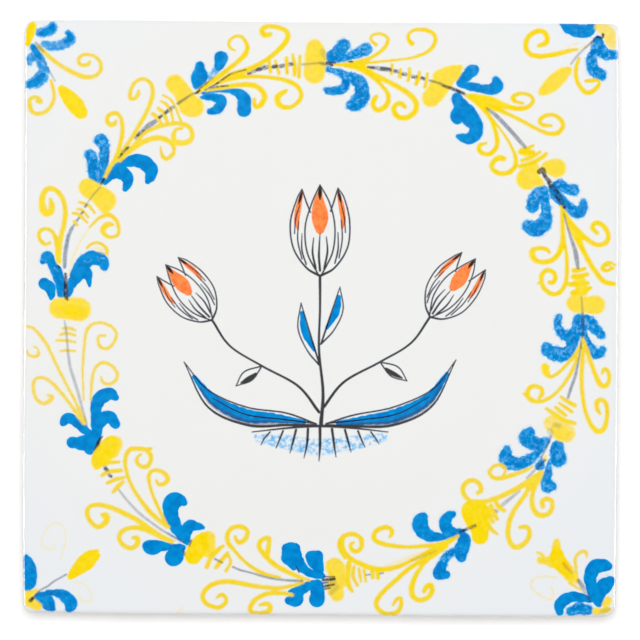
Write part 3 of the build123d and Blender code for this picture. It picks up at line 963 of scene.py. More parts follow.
# %% One tulip, about its own foot
flower = {
    "ink": [
        [(0, 0, 2.6), (-13, -8, 1.8), (-25, -26, 1.5), (-28, -50, 1.5), (-22, -72, 1.3), (-17, -82, 1)],
        [(0, 0, 2.6), (14, -8, 1.8), (26, -27, 1.5), (28, -51, 1.5), (23, -73, 1.3), (17, -83, 1)],
        [(-17, -82, 1.2), (-13, -70, 1.5), (-9, -60, 1.3)],
        [(17, -83, 1.2), (13, -70, 1.5), (10, -61, 1.3)],
        [(-2, -2, 1.6), (-12, -22, 1.5), (-14, -46, 1.4), (-8, -68, 1.4), (0, -86, 1.2)],
        [(2, -2, 1.6), (12, -23, 1.5), (14, -47, 1.4), (9, -69, 1.4), (0, -86, 1.2)],
        [(-17, -16, 1.2), (-21, -34, 1.3), (-20, -52, 0.8)],
        [(-13, -11, 1.4), (-17, -24, 1.5), (-17, -40, 0.8)],
        [(-24, -40, 1), (-23, -54, 1.1), (-19, -67, 0.7)],
        [(18, -17, 1.2), (21, -35, 1.3), (20, -53, 0.8)],
        [(14, -12, 1.4), (17, -25, 1.5), (17, -41, 0.8)],
        [(24, -41, 1), (23, -55, 1.1), (20, -68, 0.7)],
        [(0, -5, 2.2), (-1, -20, 2), (0, -40, 0.8)],
        [(-4, -7, 2), (-7, -22, 1.8), (-6, -36, 0.8)],
        [(4, -7, 2), (7, -23, 1.8), (6, -37, 0.8)],
        [(-17, -80, 1.6), (-18.5, -74, 3), (-20, -68, 1)],
        [(17, -81, 1.6), (18.5, -75, 3), (20, -69, 1)],
        [(0, -85, 1.6), (0, -79, 4), (0, -72, 1)],
    ],
    "orange": [
        [(0, -80, 3), (-1, -70, 10), (0, -56, 16), (0, -44, 9)],
        [(-17, -78, 2), (-20, -66, 5.5), (-22, -52, 5), (-21, -44, 2)],
        [(17, -79, 2), (20, -67, 5.5), (22, -53, 5), (21, -45, 2)],
    ],
}
print("strokes in one tulip:", stroke_count(flower))

# %% The stems, leaves and grass of the spray
spray = {
    "ink": [
        [(321, 424, 4), (323, 392, 3), (319, 350, 2.4), (320, 310, 2.2), (320, 276, 2.8)],
        [(319, 412, 3), (298, 386, 2.4), (262, 366, 2), (230, 346, 2), (212, 320, 2.4)],
        [(323, 408, 3), (344, 382, 2.4), (380, 362, 2), (411, 343, 2), (430, 317, 2.4)],
        [(316, 424, 2), (286, 413, 1.6), (246, 407, 1.5), (208, 390, 1.4), (184, 362, 1)],
        [(316, 425, 2), (288, 425, 2.6), (248, 425, 2.8), (208, 407, 2), (184, 362, 1)],
        [(312, 423, 1.6), (280, 419, 1.4), (244, 414, 1.3), (212, 398, 0.8)],
        [(326, 424, 2), (354, 415, 1.6), (394, 407, 1.5), (433, 389, 1.4), (456, 360, 1)],
        [(326, 425, 2), (352, 426, 2.6), (393, 425, 2.8), (432, 406, 2), (456, 360, 1)],
        [(330, 423, 1.6), (360, 420, 1.4), (397, 414, 1.3), (429, 397, 0.8)],
        [(320, 366, 1.8), (307, 350, 1.4), (298, 328, 1.3), (301, 303, 1)],
        [(320, 366, 1.8), (312, 340, 1.8), (301, 303, 1)],
        [(321, 344, 1.8), (334, 330, 1.4), (343, 310, 1.3), (340, 287, 1)],
        [(321, 344, 1.8), (329, 320, 1.8), (340, 287, 1)],
        [(262, 366, 1.4), (252, 380, 1.4), (236, 386, 1)],
        [(262, 366, 1.4), (244, 372, 1.4), (236, 386, 1)],
        [(256, 374, 3), (248, 379, 4.5), (241, 383, 1.6)],
        [(380, 362, 1.4), (391, 376, 1.4), (407, 381, 1)],
        [(380, 362, 1.4), (398, 367, 1.4), (407, 381, 1)],
        [(386, 369, 3), (394, 374, 4.5), (402, 378, 1.6)],
        [(270, 432, 1.6), (264, 439, 1.3), (261, 445, 0.7)],
        [(283, 431, 2), (279, 441, 1.6), (276, 448, 0.8)],
        [(296, 430, 2.4), (293, 442, 2), (290, 453, 0.8)],
        [(308, 429, 2.6), (307, 444, 2.2), (304, 458, 0.8)],
        [(320, 428, 3), (320, 446, 2.4), (319, 461, 0.8)],
        [(332, 429, 2.6), (334, 444, 2.2), (336, 457, 0.8)],
        [(345, 430, 2.4), (348, 441, 2), (351, 452, 0.8)],
        [(358, 431, 2), (362, 441, 1.6), (365, 447, 0.8)],
        [(371, 432, 1.6), (376, 439, 1.3), (379, 444, 0.7)],
        [(252, 432, 1), (288, 428, 2), (320, 426, 2.8), (352, 428, 2), (388, 432, 1)],
    ],
    "blue": [
        [(304, 422, 4), (274, 418, 9), (244, 415, 13), (214, 400, 10), (194, 377, 4)],
        [(338, 423, 4), (366, 420, 9), (397, 415, 13), (428, 399, 10), (447, 374, 4)],
        [(314, 350, 3), (305, 332, 7), (302, 313, 4)],
        [(327, 328, 3), (336, 312, 7), (339, 297, 4)],
    ],
    "stem": [
        [(300, 424, 2), (272, 423, 4), (244, 421, 5), (214, 406, 4), (200, 388, 2)],
        [(340, 425, 2), (368, 424, 4), (397, 421, 5), (428, 405, 4), (441, 386, 2)],
    ],
    "faint_blue": [
        [(258, 438, 8), (290, 443, 14), (320, 447, 16), (352, 443, 14), (384, 437, 8)],
    ],
}
print("strokes in the stems, leaves and grass:", stroke_count(spray))

# %% Set the tulips down on their stems
# Each place is across, down, turn in degrees and size
flower_places = [(320, 276, 0.0, 1.06), (212, 320, -40.0, 0.84), (430, 317, 38.0, 0.86)]
width_share = 0.75


def set_down(stroke, place):
    """A flower stroke at its place: scaled, turned about the flower's foot, and moved there. Its width
    follows the scale only in part, because the same brush draws every flower."""
    across, down, turn, size = place
    stroke = np.asarray(stroke, float)
    c, s = np.cos(np.radians(turn)), np.sin(np.radians(turn))
    x, y = stroke[:, 0] * size, stroke[:, 1] * size
    width = stroke[:, 2] * (1 - width_share + width_share * size)
    return np.stack([across + c * x - s * y, down + s * x + c * y, width], axis=1)


for place in flower_places:
    for pigment, strokes in flower.items():
        spray.setdefault(pigment, []).extend([set_down(stroke, place) for stroke in strokes])
print("strokes in the middle:", stroke_count(spray))

# %% [markdown]
# ## Brush strokes as lines with a width
# A loaded brush leaves a band with round ends that swells and thins. Each list becomes a smooth curve
# through its points, with the width carried along. Every pigment name says which colour is laid and how
# strongly: knobs are a thin wash, buds are laid thick, and some scrolls have almost burnt away.

# %% Name the kinds of paint
# Half the width of a stroke's soft edge, and how far blue bleeds past it, in millimetres
crisp_edge, brushed_edge, lined_edge = 0.11, 0.17, 0.24
bled_edge, washed_edge, pooled_edge = 0.26, 0.3, 0.8
bleed_reach = 0.85
# Each kind has a channel, how strongly it covers, how grainy it is, and its edge; scraped takes blue away
pigment_kinds = {
    "blue": ("blue", 1.0, 0.0, crisp_edge),
    "flecked_blue": ("blue", 1.0, 0.38, brushed_edge),
    "grainy_blue": ("blue", 1.0, 1.0, bled_edge),
    "pale_blue": ("blue", 0.66, 0.7, bled_edge),
    "thin_blue": ("blue", 0.52, 1.0, bled_edge),
    "faint_blue": ("blue", 0.2, 1.0, bled_edge),
    "ghost_blue": ("blue", 0.13, 0.2, washed_edge),
    "scraped": ("blue", -0.44, 0.0, brushed_edge),
    "yellow": ("yellow", 1.0, 1.0, lined_edge),
    "strong_yellow": ("yellow", 1.0, 0.0, brushed_edge),
    "pooled_yellow": ("yellow", 1.0, 0.0, pooled_edge),
    "soft_yellow": ("yellow", 0.945, 0.0, washed_edge),
    "thin_yellow": ("yellow", 0.8, 0.0, washed_edge),
    "faint_yellow": ("yellow", 0.36, 0.0, brushed_edge),
    "palest_yellow": ("yellow", 0.24, 0.0, brushed_edge),
    "orange": ("orange", 0.95, 0.0, crisp_edge),
    "faint_orange": ("orange", 0.3, 0.0, crisp_edge),
    "ink": ("ink", 1.0, 0.0, crisp_edge),
    "dark": ("ink", 0.96, 0.5, brushed_edge),
    "scratched": ("ink", 0.92, 1.35, brushed_edge),
    "half_dark": ("ink", 0.88, 1.0, brushed_edge),
    "stem": ("ink", 0.56, 0.4, brushed_edge),
    "faint_stem": ("ink", 0.35, 0.4, brushed_edge),
    "ghost_stem": ("ink", 0.2, 0.5, washed_edge),
}
print("kinds of paint:", len(pigment_kinds))

# %% Say how each unit's lines differ
# What melting adds to a yellow line's width, in picture points
brush_spread = {"yellow": 0.8}
# How wide, and how deep, a unit's yellow lines are beside the listed ones
brush_load = {
    "top_left_to_top": 1.06,
    "top_right_to_right_top": 1.05,
    "left_bottom_to_left": 0.86,
    "top_left": 0.92,
    "bottom_right": 0.85,
}
line_depth = {
    "right_to_right_bottom": 0.98,
    "right_bottom_to_bottom_right": 0.96,
    "bottom_right_to_bottom": 0.99,
    "bottom_to_bottom_left": 0.98,
    "bottom_left_to_left_bottom": 0.965,
    "left_bottom_to_left": 0.88,
    "left_to_left_top": 0.97,
    "left_top_to_top_left": 0.965,
    "top_left": 0.935,
    "bottom_right": 0.91,
}
# The hand's tremble in millimetres, and its rates in x, y and width
hand_tremble = {"blue": 0.045, "yellow": 0.02}
tremble_rates = (2.3, 2.9, 3.6)
print("units with wider or narrower lines:", len(brush_load), "with thinner paint:", len(line_depth))

# %% Turn every stroke into a smooth path in millimetres
station_gap = 0.42
steps_per_stretch = 24
thinnest_half = 0.06
steepest_taper = 0.95


def smooth_path(stroke, load, spread, tremble):
    """A Catmull-Rom curve through (across, down, width) as x, y and half-width in mm, with a hand's
    tremble: sines of the length. Its stations are even along the outer side, so a tight hook or a
    swelling gets more of them."""
    stroke = np.asarray(stroke, float)
    knots = np.column_stack([on_tile(stroke), (load * stroke[:, 2] + spread) / picture_points_per_mm / 2])
    lead = np.vstack([2 * knots[0] - knots[1], knots, 2 * knots[-1] - knots[-2]])
    wanted = np.linspace(0, len(knots) - 1, steps_per_stretch * (len(knots) - 1) + 1)
    first = np.minimum(wanted.astype(int), len(knots) - 2)
    t = (wanted - first)[:, None]
    a, b, c, d = (lead[first + shift] for shift in range(4))
    path = 0.5 * (2 * b + (c - a) * t + (2 * a - 5 * b + 4 * c - d) * t**2 + (3 * b - a - 3 * c + d) * t**3)
    so_far = np.append(0, np.cumsum(np.linalg.norm(np.diff(path[:, :2], axis=0), axis=1)))
    phase = knots[0, 0] * 1.7 + knots[0, 1]
    for axis, rate in enumerate(tremble_rates):
        path[:, axis] += tremble * np.sin(rate * so_far + phase * (axis + 1)) * np.clip(path[:, 2], 0, 1)
    path[:, 2] = np.maximum(path[:, 2], thinnest_half)
    step = np.diff(path, axis=0)
    length = np.linalg.norm(step[:, :2], axis=1) + 1e-9
    heading = np.unwrap(np.arctan2(step[:, 1], step[:, 0]))
    lean = np.arcsin(np.clip(step[:, 2] / length, -steepest_taper, steepest_taper))
    turn = np.abs(np.diff(heading, prepend=heading[0])) + np.abs(np.diff(lean, prepend=lean[0]))
    travel = np.append(0, np.cumsum(length + turn * path[1:, 2]))
    even = np.linspace(0, travel[-1], max(3, int(np.ceil(travel[-1] / station_gap)) + 1))
    return np.stack([np.interp(even, travel, path[:, axis]) for axis in range(3)], axis=1)


painted = []
for name, group in [*wreath.items(), *corners.items(), ("spray", spray)]:
    for pigment, strokes in group.items():
        kind, load = pigment_kinds[pigment], 1.0
        if pigment == "yellow":
            load = brush_load.get(name, 1.0)
            kind = (kind[0], line_depth.get(name, kind[1]), *kind[2:])
        habits = load, brush_spread.get(pigment, 0.0), hand_tremble.get(kind[0], 0.0)
        painted += [(kind, smooth_path(stroke, *habits)) for stroke in strokes]
print("brush strokes:", len(painted), "stations:", sum(len(path) for kind, path in painted))

# %% [markdown]
# ## One skin that knows its paint
# The paint has no thickness to speak of: it melted into the glaze. So the strokes are not pieces of
# their own. The face is one sheet of triangles whose points crowd along the edge of every stroke, and
# each point stores how much of each pigment covers it. The material reads those amounts. Rows of
# points just inside, on and just outside a stroke's edge keep the edge as crisp as the brush left it.

# %% Scatter points along the edges of every stroke
least_reach = 0.03
fan_reach, fan_gap = 2.1, 0.33


def edge_points(kind, path):
    """Rows of points either side of a path and fanned round both ends, at the half-width plus each row's
    offset. Where the stroke tapers, the rows lean with its edge: by the sine of the taper along the path."""
    softness = kind[3]
    rows = softness * np.array([-1, 0, 1.0] if softness > lined_edge else [-1, 1.0])
    rows = np.append(rows, bleed_reach) if kind[0] == "blue" else rows
    centre, half = path[:, :2], path[:, 2]
    ahead = np.gradient(centre, axis=0)
    travel = np.linalg.norm(ahead, axis=1) + 1e-12
    ahead /= travel[:, None]
    taper = np.clip(np.gradient(half) / travel, -steepest_taper, steepest_taper)
    side = np.stack([-ahead[:, 1], ahead[:, 0]], axis=1)
    reach = np.maximum(half[:, None] + rows, least_reach)
    points = []
    for sign in (-1, 1):
        lean = -taper[:, None] * ahead + sign * np.sqrt(1 - taper[:, None] ** 2) * side
        points.append(centre[:, None] + reach[..., None] * lean[:, None])
    for end, out in ((0, -ahead[0]), (-1, ahead[-1])):
        count = int(np.clip(np.ceil(2 * fan_reach * half[end] / fan_gap), 5, 50))
        fan = np.linspace(-fan_reach, fan_reach, count)
        across = np.array([-out[1], out[0]])
        spoke = np.cos(fan)[:, None] * out + np.sin(fan)[:, None] * across
        points.append(centre[end] + spoke[:, None] * reach[end][None, :, None])
    return np.vstack([part.reshape(-1, 2) for part in points])


stroke_points = np.vstack([edge_points(kind, path) for kind, path in painted])
print("points along the strokes:", len(stroke_points))

# %% Measure how far points lie from the rim
def inside_distance(points, loop):
    """Distance of each point to the nearest side of a closed loop, above zero inside it."""
    start, side = loop, np.roll(loop, -1, axis=0) - loop
    offset = points[:, None] - start[None]
    along = np.clip((offset * side).sum(-1) / (side * side).sum(-1), 0, 1)
    gap = offset - along[..., None] * side
    nearest = (gap * gap).sum(-1).argmin(axis=1)
    row = np.arange(len(points))
    cross = side[nearest, 0] * offset[row, nearest, 1] - side[nearest, 1] * offset[row, nearest, 0]
    return np.sign(cross) * np.linalg.norm(gap[row, nearest], axis=1)


far_inside, middle_half = 9.0, 60.0
rim_parts = 40


def distance_from_rim(points):
    """Inside distance for points near the rim; far ones only need to be known as far."""
    distance = np.full(len(points), far_inside)
    near = np.abs(points).max(axis=1) > middle_half
    for part in np.array_split(np.flatnonzero(near), rim_parts):
        distance[part] = inside_distance(points[part], outline)
    return distance


stroke_gap = distance_from_rim(stroke_points)
print("least distance of a stroke point from the rim, mm:", stroke_gap.min().round(3))

# %% Gather the points of the face
def square_grid(half, count, clear):
    """An even grid of count by count points out to half each way, kept where it lies clear of the rim."""
    line = np.linspace(-half, half, count)
    grid = np.stack(np.meshgrid(line, line), axis=-1).reshape(-1, 2)
    return grid[distance_from_rim(grid) > clear]


rim_insets = (0.015, 0.06, 0.14, 0.26, 0.42, 0.62, 0.9, 1.3)
stroke_clear, rim_clear = 0.05, 0.008
lattice = 0.03
rim_points = np.vstack([outline + inset * outline_in for inset in rim_insets])
grid_points = square_grid(half=66, count=49, clear=1.4)
loose = np.vstack([stroke_points[stroke_gap > stroke_clear], grid_points, rim_points])
loose = np.unique(np.round(loose / lattice).astype(np.int64), axis=0) * lattice
loose = loose[distance_from_rim(loose) > rim_clear]
print("points on the face:", len(loose) + len(outline))

# %% Set up the joining of points into triangles
def fill_loop(loop, points):
    """Delaunay triangles over the points inside a closed loop; the loop comes first, in its own order."""
    count = len(loop)
    border = [(i, (i + 1) % count) for i in range(count)]
    cloud = [Vector(point) for point in np.vstack([loop, points]).tolist()]
    flat, _, triangles, source = delaunay_2d_cdt(cloud, border, [], 1, 1e-6)[:4]
    flat = np.array([point[:] for point in flat])
    rank = np.array([min(ids) if ids else count + 1 for ids in source])
    order = np.argsort(rank, kind="stable")
    place = np.empty(len(order), dtype=np.int64)
    place[order] = np.arange(len(order))
    return flat[order], place[np.array(triangles)]


print("joining", len(loose), "points")

# %% Work out how the strokes cover a point
channels = ("blue", "yellow", "orange", "ink")
paint_reach = 0.9
least_bleed, grain_bleed = 0.1, 0.2
fine_start, fine_half = 2.2, 0.35


def lay_paint(points):
    """How much of each pigment covers each point, and how coarse it is there. A stroke covers a point by
    its distance to the path minus the half-width there: a smooth step across the soft edge, plus a faint
    bleed of the blue. Yellow is coarse only where its line is fine. A strength below zero takes paint
    away."""
    cover = np.zeros((len(points), len(channels)))
    coarse = np.zeros((len(points), len(channels)))
    for (name, strength, roughened, softness), path in painted:
        channel = channels.index(name)
        low = (path[:, :2] - path[:, 2:] - paint_reach).min(axis=0)
        high = (path[:, :2] + path[:, 2:] + paint_reach).max(axis=0)
        near = np.flatnonzero(((points > low) & (points < high)).all(axis=1))
        start, side = path[:-1], np.diff(path, axis=0)
        offset = points[near][:, None] - start[None, :, :2]
        along = np.clip((offset * side[:, :2]).sum(-1) / ((side[:, :2] ** 2).sum(-1) + 1e-12), 0, 1)
        half = start[:, 2] + along * side[:, 2]
        gap = np.linalg.norm(offset - along[..., None] * side[:, :2], axis=-1) - half
        gap_half = half[np.arange(len(near)), gap.argmin(axis=1)]
        gap = gap.min(axis=1)
        soft = np.clip(0.5 - gap / (2 * softness), 0, 1)
        soft = soft * soft * (3 - 2 * soft)
        if name == "blue":
            bleed = least_bleed + grain_bleed * roughened
            soft += (1 - soft) * bleed * np.clip(1 - gap / bleed_reach, 0, 1) ** 2
        if strength < 0:
            cover[near, channel] *= 1 + strength * soft
            continue
        stronger = strength * soft > cover[near, channel]
        cover[near[stronger], channel] = strength * soft[stronger]
        fine_line = np.clip(fine_start - gap_half[stronger] / fine_half, 0, 1) if name == "yellow" else 1.0
        coarse[near[stronger], channel] = roughened * fine_line
    return cover, coarse


print("pigment channels:", channels)

# %% Join the sheet, and add points where the paint's edge would be jagged
refinements = 3
shortest_edge = 0.16
uneven_cover, jagged_cover, trace = 0.2, 0.24, 0.05
for attempt in range(refinements + 1):
    face_plan, face_triangles = fill_loop(outline, loose)
    cover, coarse = lay_paint(face_plan)
    if attempt == refinements:
        break
    ends = np.unique(np.sort(face_triangles[:, [0, 1, 1, 2, 2, 0]].reshape(-1, 2), axis=1), axis=0)
    long_enough = np.linalg.norm(face_plan[ends[:, 0]] - face_plan[ends[:, 1]], axis=1) > shortest_edge
    uneven = np.ptp(cover[ends], axis=1).max(axis=1) > uneven_cover
    ends = ends[long_enough & uneven]
    middle = face_plan[ends].mean(axis=1)
    wrong = np.abs(lay_paint(middle)[0] - cover[ends].mean(axis=1)).max(axis=1) > jagged_cover
    middle = middle[wrong]
    loose = np.vstack([loose, middle[distance_from_rim(middle) > stroke_clear]])
    print("edge points added:", int(wrong.sum()))
print("face points:", len(face_plan), "triangles:", len(face_triangles))
painted_share = (cover > trace).mean(axis=0).round(3).tolist()
print("painted share of the face points:", dict(zip(channels, painted_share)))

# %% [markdown]
# ## Height, sides and back
# The glaze is thick and a little wavy, and it rolls over the arris (the rounded edge). The sides lean
# in towards the back, because such tiles were cut with a bevel so that they set tightly face to face.
# The face's height is a function of the two plan directions; the sides are a profile carried round the
# outline. The back is pressed clay with a shallow hollow, so that it rests on its border.

# %% Work out the heights
arris_radius = 0.9
back_radius = 0.4
lean_at_back = 1.0
side_lean = np.arctan(lean_at_back / slab_thickness)
wave_depth, wave_fade = 0.03, 5.0


def glaze_wave(x, y):
    """Sum of a few long sines in crossing directions, from -1 to 1: the unevenness of a poured glaze."""
    total = np.sin(x / 9.1 + 0.7 * np.sin(y / 17.0)) + np.sin(y / 11.3 + 0.9 * np.sin(x / 14.0) + 1.3)
    total += np.sin((x + y) / 6.7 + 2.1) * 0.6 + np.sin((x - 1.3 * y) / 4.9 + 0.4) * 0.4
    return total / 3.0


rim = distance_from_rim(face_plan)
rim[: len(outline)] = 0.0
roll = np.clip(1 - rim / arris_radius, 0, 1)
fade = np.clip(rim / wave_fade, 0, 1)
face_height = slab_thickness - arris_radius * (1 - np.sqrt(np.maximum(1 - roll**2, 0)))
face_height -= wave_depth * fade * (1 + glaze_wave(face_plan[:, 0], face_plan[:, 1]))
face = np.column_stack([face_plan, face_height])
print("face height from", face_height.min().round(3), "to", face_height.max().round(3), "mm")

# %% Carry the side's profile round the outline
side_rows, foot_rows = 10, 5
mark_depth = 0.05
belly_top, belly_foot = 1.2, 0.8
turn_down = np.radians([-2.5, -5.0, np.degrees(-side_lean)])
side_inset = list(arris_radius * (1 - np.cos(turn_down)))
side_level = list(slab_thickness - arris_radius + arris_radius * np.sin(turn_down))
arris_inset, arris_level = side_inset[-1], side_level[-1]
level_end = back_radius * (1 - np.sin(side_lean))
for level in np.linspace(arris_level, level_end, side_rows)[1:]:
    side_inset.append(arris_inset + (arris_level - level) * np.tan(side_lean))
    side_level.append(level)
foot_turn = np.linspace(side_lean, np.pi / 2, foot_rows)[1:]
foot_centre = side_inset[-1] + back_radius * np.cos(side_lean)
side_inset += list(foot_centre - back_radius * np.cos(foot_turn))
side_level += list(back_radius - back_radius * np.sin(foot_turn))
side_inset, side_level = np.array(side_inset), np.array(side_level)
round_step = np.linalg.norm(np.roll(outline, -1, axis=0) - outline, axis=1)
round_place = np.append(0, np.cumsum(round_step))


def cut_marks(place, level):
    """Depth of the knife's marks on a side: a sum of three sines round the tile that drift as they go
    down, from zero inwards, so that no mark stands out of the side."""
    ripple = np.sin(place * 1.9 + level * 0.5) + np.sin(place * 0.73 - level * 1.1 + 1.0)
    ripple = ripple + np.sin(place * 4.3 + level * 0.9)
    return mark_depth * (1 + ripple / 3.0)


belly = np.clip((arris_level - side_level) / belly_top, 0, 1) * np.clip(side_level / belly_foot, 0, 1)
inward = side_inset[:, None] + belly[:, None] * cut_marks(round_place[None, :-1], side_level[:, None])
side_plan = outline[None] + inward[..., None] * outline_in[None]
sides = np.concatenate([side_plan, np.broadcast_to(side_level[:, None, None], inward.shape + (1,))], axis=2)
print("side rows:", len(sides), "from", side_level[0].round(3), "down to", side_level[-1].round(3), "mm")

# %% Hollow the back
back_border, hollow_fade = 1.5, 6
hollow_depth, hollow_wave = 0.1, 0.06
back_plan, back_triangles = fill_loop(side_plan[-1], square_grid(half=63, count=43, clear=2.2))
back_gap = distance_from_rim(back_plan) - back_border
hollow = hollow_depth + hollow_wave * glaze_wave(back_plan[:, 1] * 1.7, back_plan[:, 0] * 1.4)
back_height = np.clip(back_gap / hollow_fade, 0, 1) * hollow
back_height[: len(outline)] = side_level[-1]
back = np.column_stack([back_plan, back_height])
print("back points:", len(back), "deepest hollow in mm:", back_height.max().round(3))

# %% Join face, sides and back into one closed piece
ring = len(outline)
side_first = len(face)
back_first = side_first + sides.shape[0] * ring - ring
all_points = np.vstack([face, sides[:-1].reshape(-1, 3), back])
row_start = np.append(0, side_first + ring * np.arange(len(sides) - 1))
row_start = np.append(row_start, back_first)
upper = row_start[:-1, None] + np.arange(ring)[None]
lower = row_start[1:, None] + np.arange(ring)[None]
upper_next, lower_next = np.roll(upper, -1, axis=1), np.roll(lower, -1, axis=1)
lower_half = np.stack([upper, lower, lower_next], axis=-1)
upper_half = np.stack([upper, lower_next, upper_next], axis=-1)
side_triangles = np.stack([lower_half, upper_half], axis=2).reshape(-1, 3)
back_faces = back_triangles[:, ::-1] + back_first
all_triangles = np.vstack([face_triangles, side_triangles, back_faces])

tile_mesh = bpy.data.meshes.new("painted_tile")
tile_mesh.from_pydata((all_points / MM).tolist(), [], all_triangles.tolist())
tile_mesh.polygons.foreach_set("use_smooth", np.ones(len(all_triangles), dtype=bool))
tile = bpy.data.objects.new("painted_tile", tile_mesh)
bpy.context.scene.collection.objects.link(tile)


def store(name, values):
    """One number for each point of the piece: the given values from the face on, zero past their end."""
    full = np.zeros(len(all_points), dtype=np.float32)
    full[: len(values)] = values
    tile_mesh.attributes.new(name, "FLOAT", "POINT").data.foreach_set("value", full)


for channel, name in enumerate(channels):
    store(name, cover[:, channel])
    store(name + "_coarse", coarse[:, channel])
below_rim = np.zeros(len(all_points))
below_rim[side_first:] = np.maximum(slab_thickness - arris_radius - all_points[side_first:, 2], 0)
store("below_rim", below_rim)
print("piece points:", len(all_points), "triangles:", len(all_triangles))

# %% Give the piece a map for its textures
# The face fills most of the map; the back lies small beside it, and the four sides are strips above it
map_half, map_margin = 65.6, 0.015
face_share, back_share = 0.82, 0.12
back_corner = np.array([0.86, 0.02])
strip_start, strip_step, strip_height = 0.85, 0.037, 0.032
face_u = map_margin + face_share * (all_points[:, :2] + map_half) / (2 * map_half)
back_u = back_corner + back_share * (all_points[:, :2] + map_half) / (2 * map_half)
side_of = np.minimum((np.arange(ring) * 4) // ring, 3)
side_from = round_place[np.searchsorted(side_of, np.arange(4))]
side_span = np.append(side_from[1:], round_place[-1]) - side_from
level_step = np.diff(np.append(slab_thickness - arris_radius, side_level))
inset_step = np.diff(np.append(0, side_inset))
fall = np.hypot(level_step, inset_step)
down = strip_height * np.append(0, np.cumsum(fall)) / fall.sum()


def strip(place_index, row):
    """Place of a side point on its strip: how far along its side, and how far down the profile."""
    u = map_margin + face_share * (round_place[place_index] - side_from[side_of]) / side_span[side_of]
    v = strip_start + strip_step * side_of + down[row]
    return np.stack(np.broadcast_arrays(u, v), axis=-1)


rows = np.arange(len(sides))[:, None]
here, after = np.arange(ring)[None], np.arange(1, ring + 1)[None]
corner_u = [strip(here, rows), strip(here, rows + 1), strip(after, rows + 1), strip(after, rows)]
lower_u = np.stack([corner_u[0], corner_u[1], corner_u[2]], axis=2)
upper_u = np.stack([corner_u[0], corner_u[2], corner_u[3]], axis=2)
side_u = np.stack([lower_u, upper_u], axis=2).reshape(-1, 2)
texture_map = np.vstack([face_u[face_triangles.ravel()], side_u, back_u[back_faces.ravel()]])
tile_mesh.uv_layers.new(name="OFBake").data.foreach_set("uv", texture_map.astype(np.float32).ravel())
print("texture map corners:", len(texture_map))
print("texture map range:", texture_map.min(axis=0).round(3), texture_map.max(axis=0).round(3))

# %% [markdown]
# ## Glaze, paint and clay
# One material covers the piece. Low on the sides and on the back it is bare biscuit, a dull buff clay.
# Over the face lies the tin glaze, a white with faint clouds, painted bluer and a little darker towards the
# rim as shade, away from a spot just above the middle where the lamp falls fullest. Then each pigment is
# mixed in by its stored amount: blue that is mottled where the brush ran dry and flecked where the glaze
# boiled through, yellow that is thin and pale or pooled and deep, orange, and last the dark line, which
# darkens whatever lies under it, as an ink does.

# %% Small helpers for building a material
tile_material = bpy.data.materials.new("painted_glaze")
tile_material.use_nodes = True
shader_tree = tile_material.node_tree
shader_tree.nodes.clear()


def colour(red, green, blue):
    """A screen colour from 0 to 255 as the linear light that Blender mixes."""
    part = np.array([red, green, blue]) / 255.0
    linear = np.where(part <= 0.04045, part / 12.92, ((part + 0.055) / 1.055) ** 2.4)
    return (*linear.tolist(), 1.0)


def plug(tree, target, value):
    """Put a value on a socket, or link it when the value is another node's socket."""
    if isinstance(value, bpy.types.NodeSocket):
        tree.links.new(value, target)
    else:
        target.default_value = value


def sums(operation, first, second, tree=shader_tree):
    """One arithmetic step on two numbers."""
    step = tree.nodes.new("ShaderNodeMath")
    step.operation = operation
    plug(tree, step.inputs[0], first)
    plug(tree, step.inputs[1], second)
    return step.outputs[0]


def blend(amount, under, over, kind="MIX", tree=shader_tree):
    """Lay one colour over another by an amount."""
    step = tree.nodes.new("ShaderNodeMix")
    step.data_type = "RGBA"
    step.blend_type = kind
    plug(tree, step.inputs["Factor"], amount)
    plug(tree, step.inputs[6], under)
    plug(tree, step.inputs[7], over)
    return step.outputs[2]


def stored(name):
    """A number that each point of the piece carries."""
    step = shader_tree.nodes.new("ShaderNodeAttribute")
    step.attribute_name = name
    return step.outputs["Fac"]


def ramp(value, low, high, tree=shader_tree):
    """A smooth step from 0 at low to 1 at high."""
    step = tree.nodes.new("ShaderNodeMapRange")
    step.interpolation_type = "SMOOTHSTEP"
    plug(tree, step.inputs["Value"], value)
    step.inputs["From Min"].default_value = low
    step.inputs["From Max"].default_value = high
    return step.outputs["Result"]


object_place = shader_tree.nodes.new("ShaderNodeTexCoord").outputs["Object"]
in_mm = shader_tree.nodes.new("ShaderNodeVectorMath")
in_mm.operation = "SCALE"
in_mm.inputs["Scale"].default_value = MM
shader_tree.links.new(object_place, in_mm.inputs[0])


def noise(size, detail=2.0, roughness=0.5, shift=0.0):
    """Cloudy noise whose blotches are about the given size in millimetres, read at a place moved by
    shift, so that no two patterns fall together."""
    step = shader_tree.nodes.new("ShaderNodeTexNoise")
    moved = shader_tree.nodes.new("ShaderNodeVectorMath")
    moved.inputs[1].default_value = (shift, -shift, 0.5 * shift)
    shader_tree.links.new(in_mm.outputs[0], moved.inputs[0])
    shader_tree.links.new(moved.outputs[0], step.inputs["Vector"])
    step.inputs["Scale"].default_value = 1.0 / size
    step.inputs["Detail"].default_value = detail
    step.inputs["Roughness"].default_value = roughness
    return step.outputs["Fac"]


print("material helpers ready for", tile_material.name)

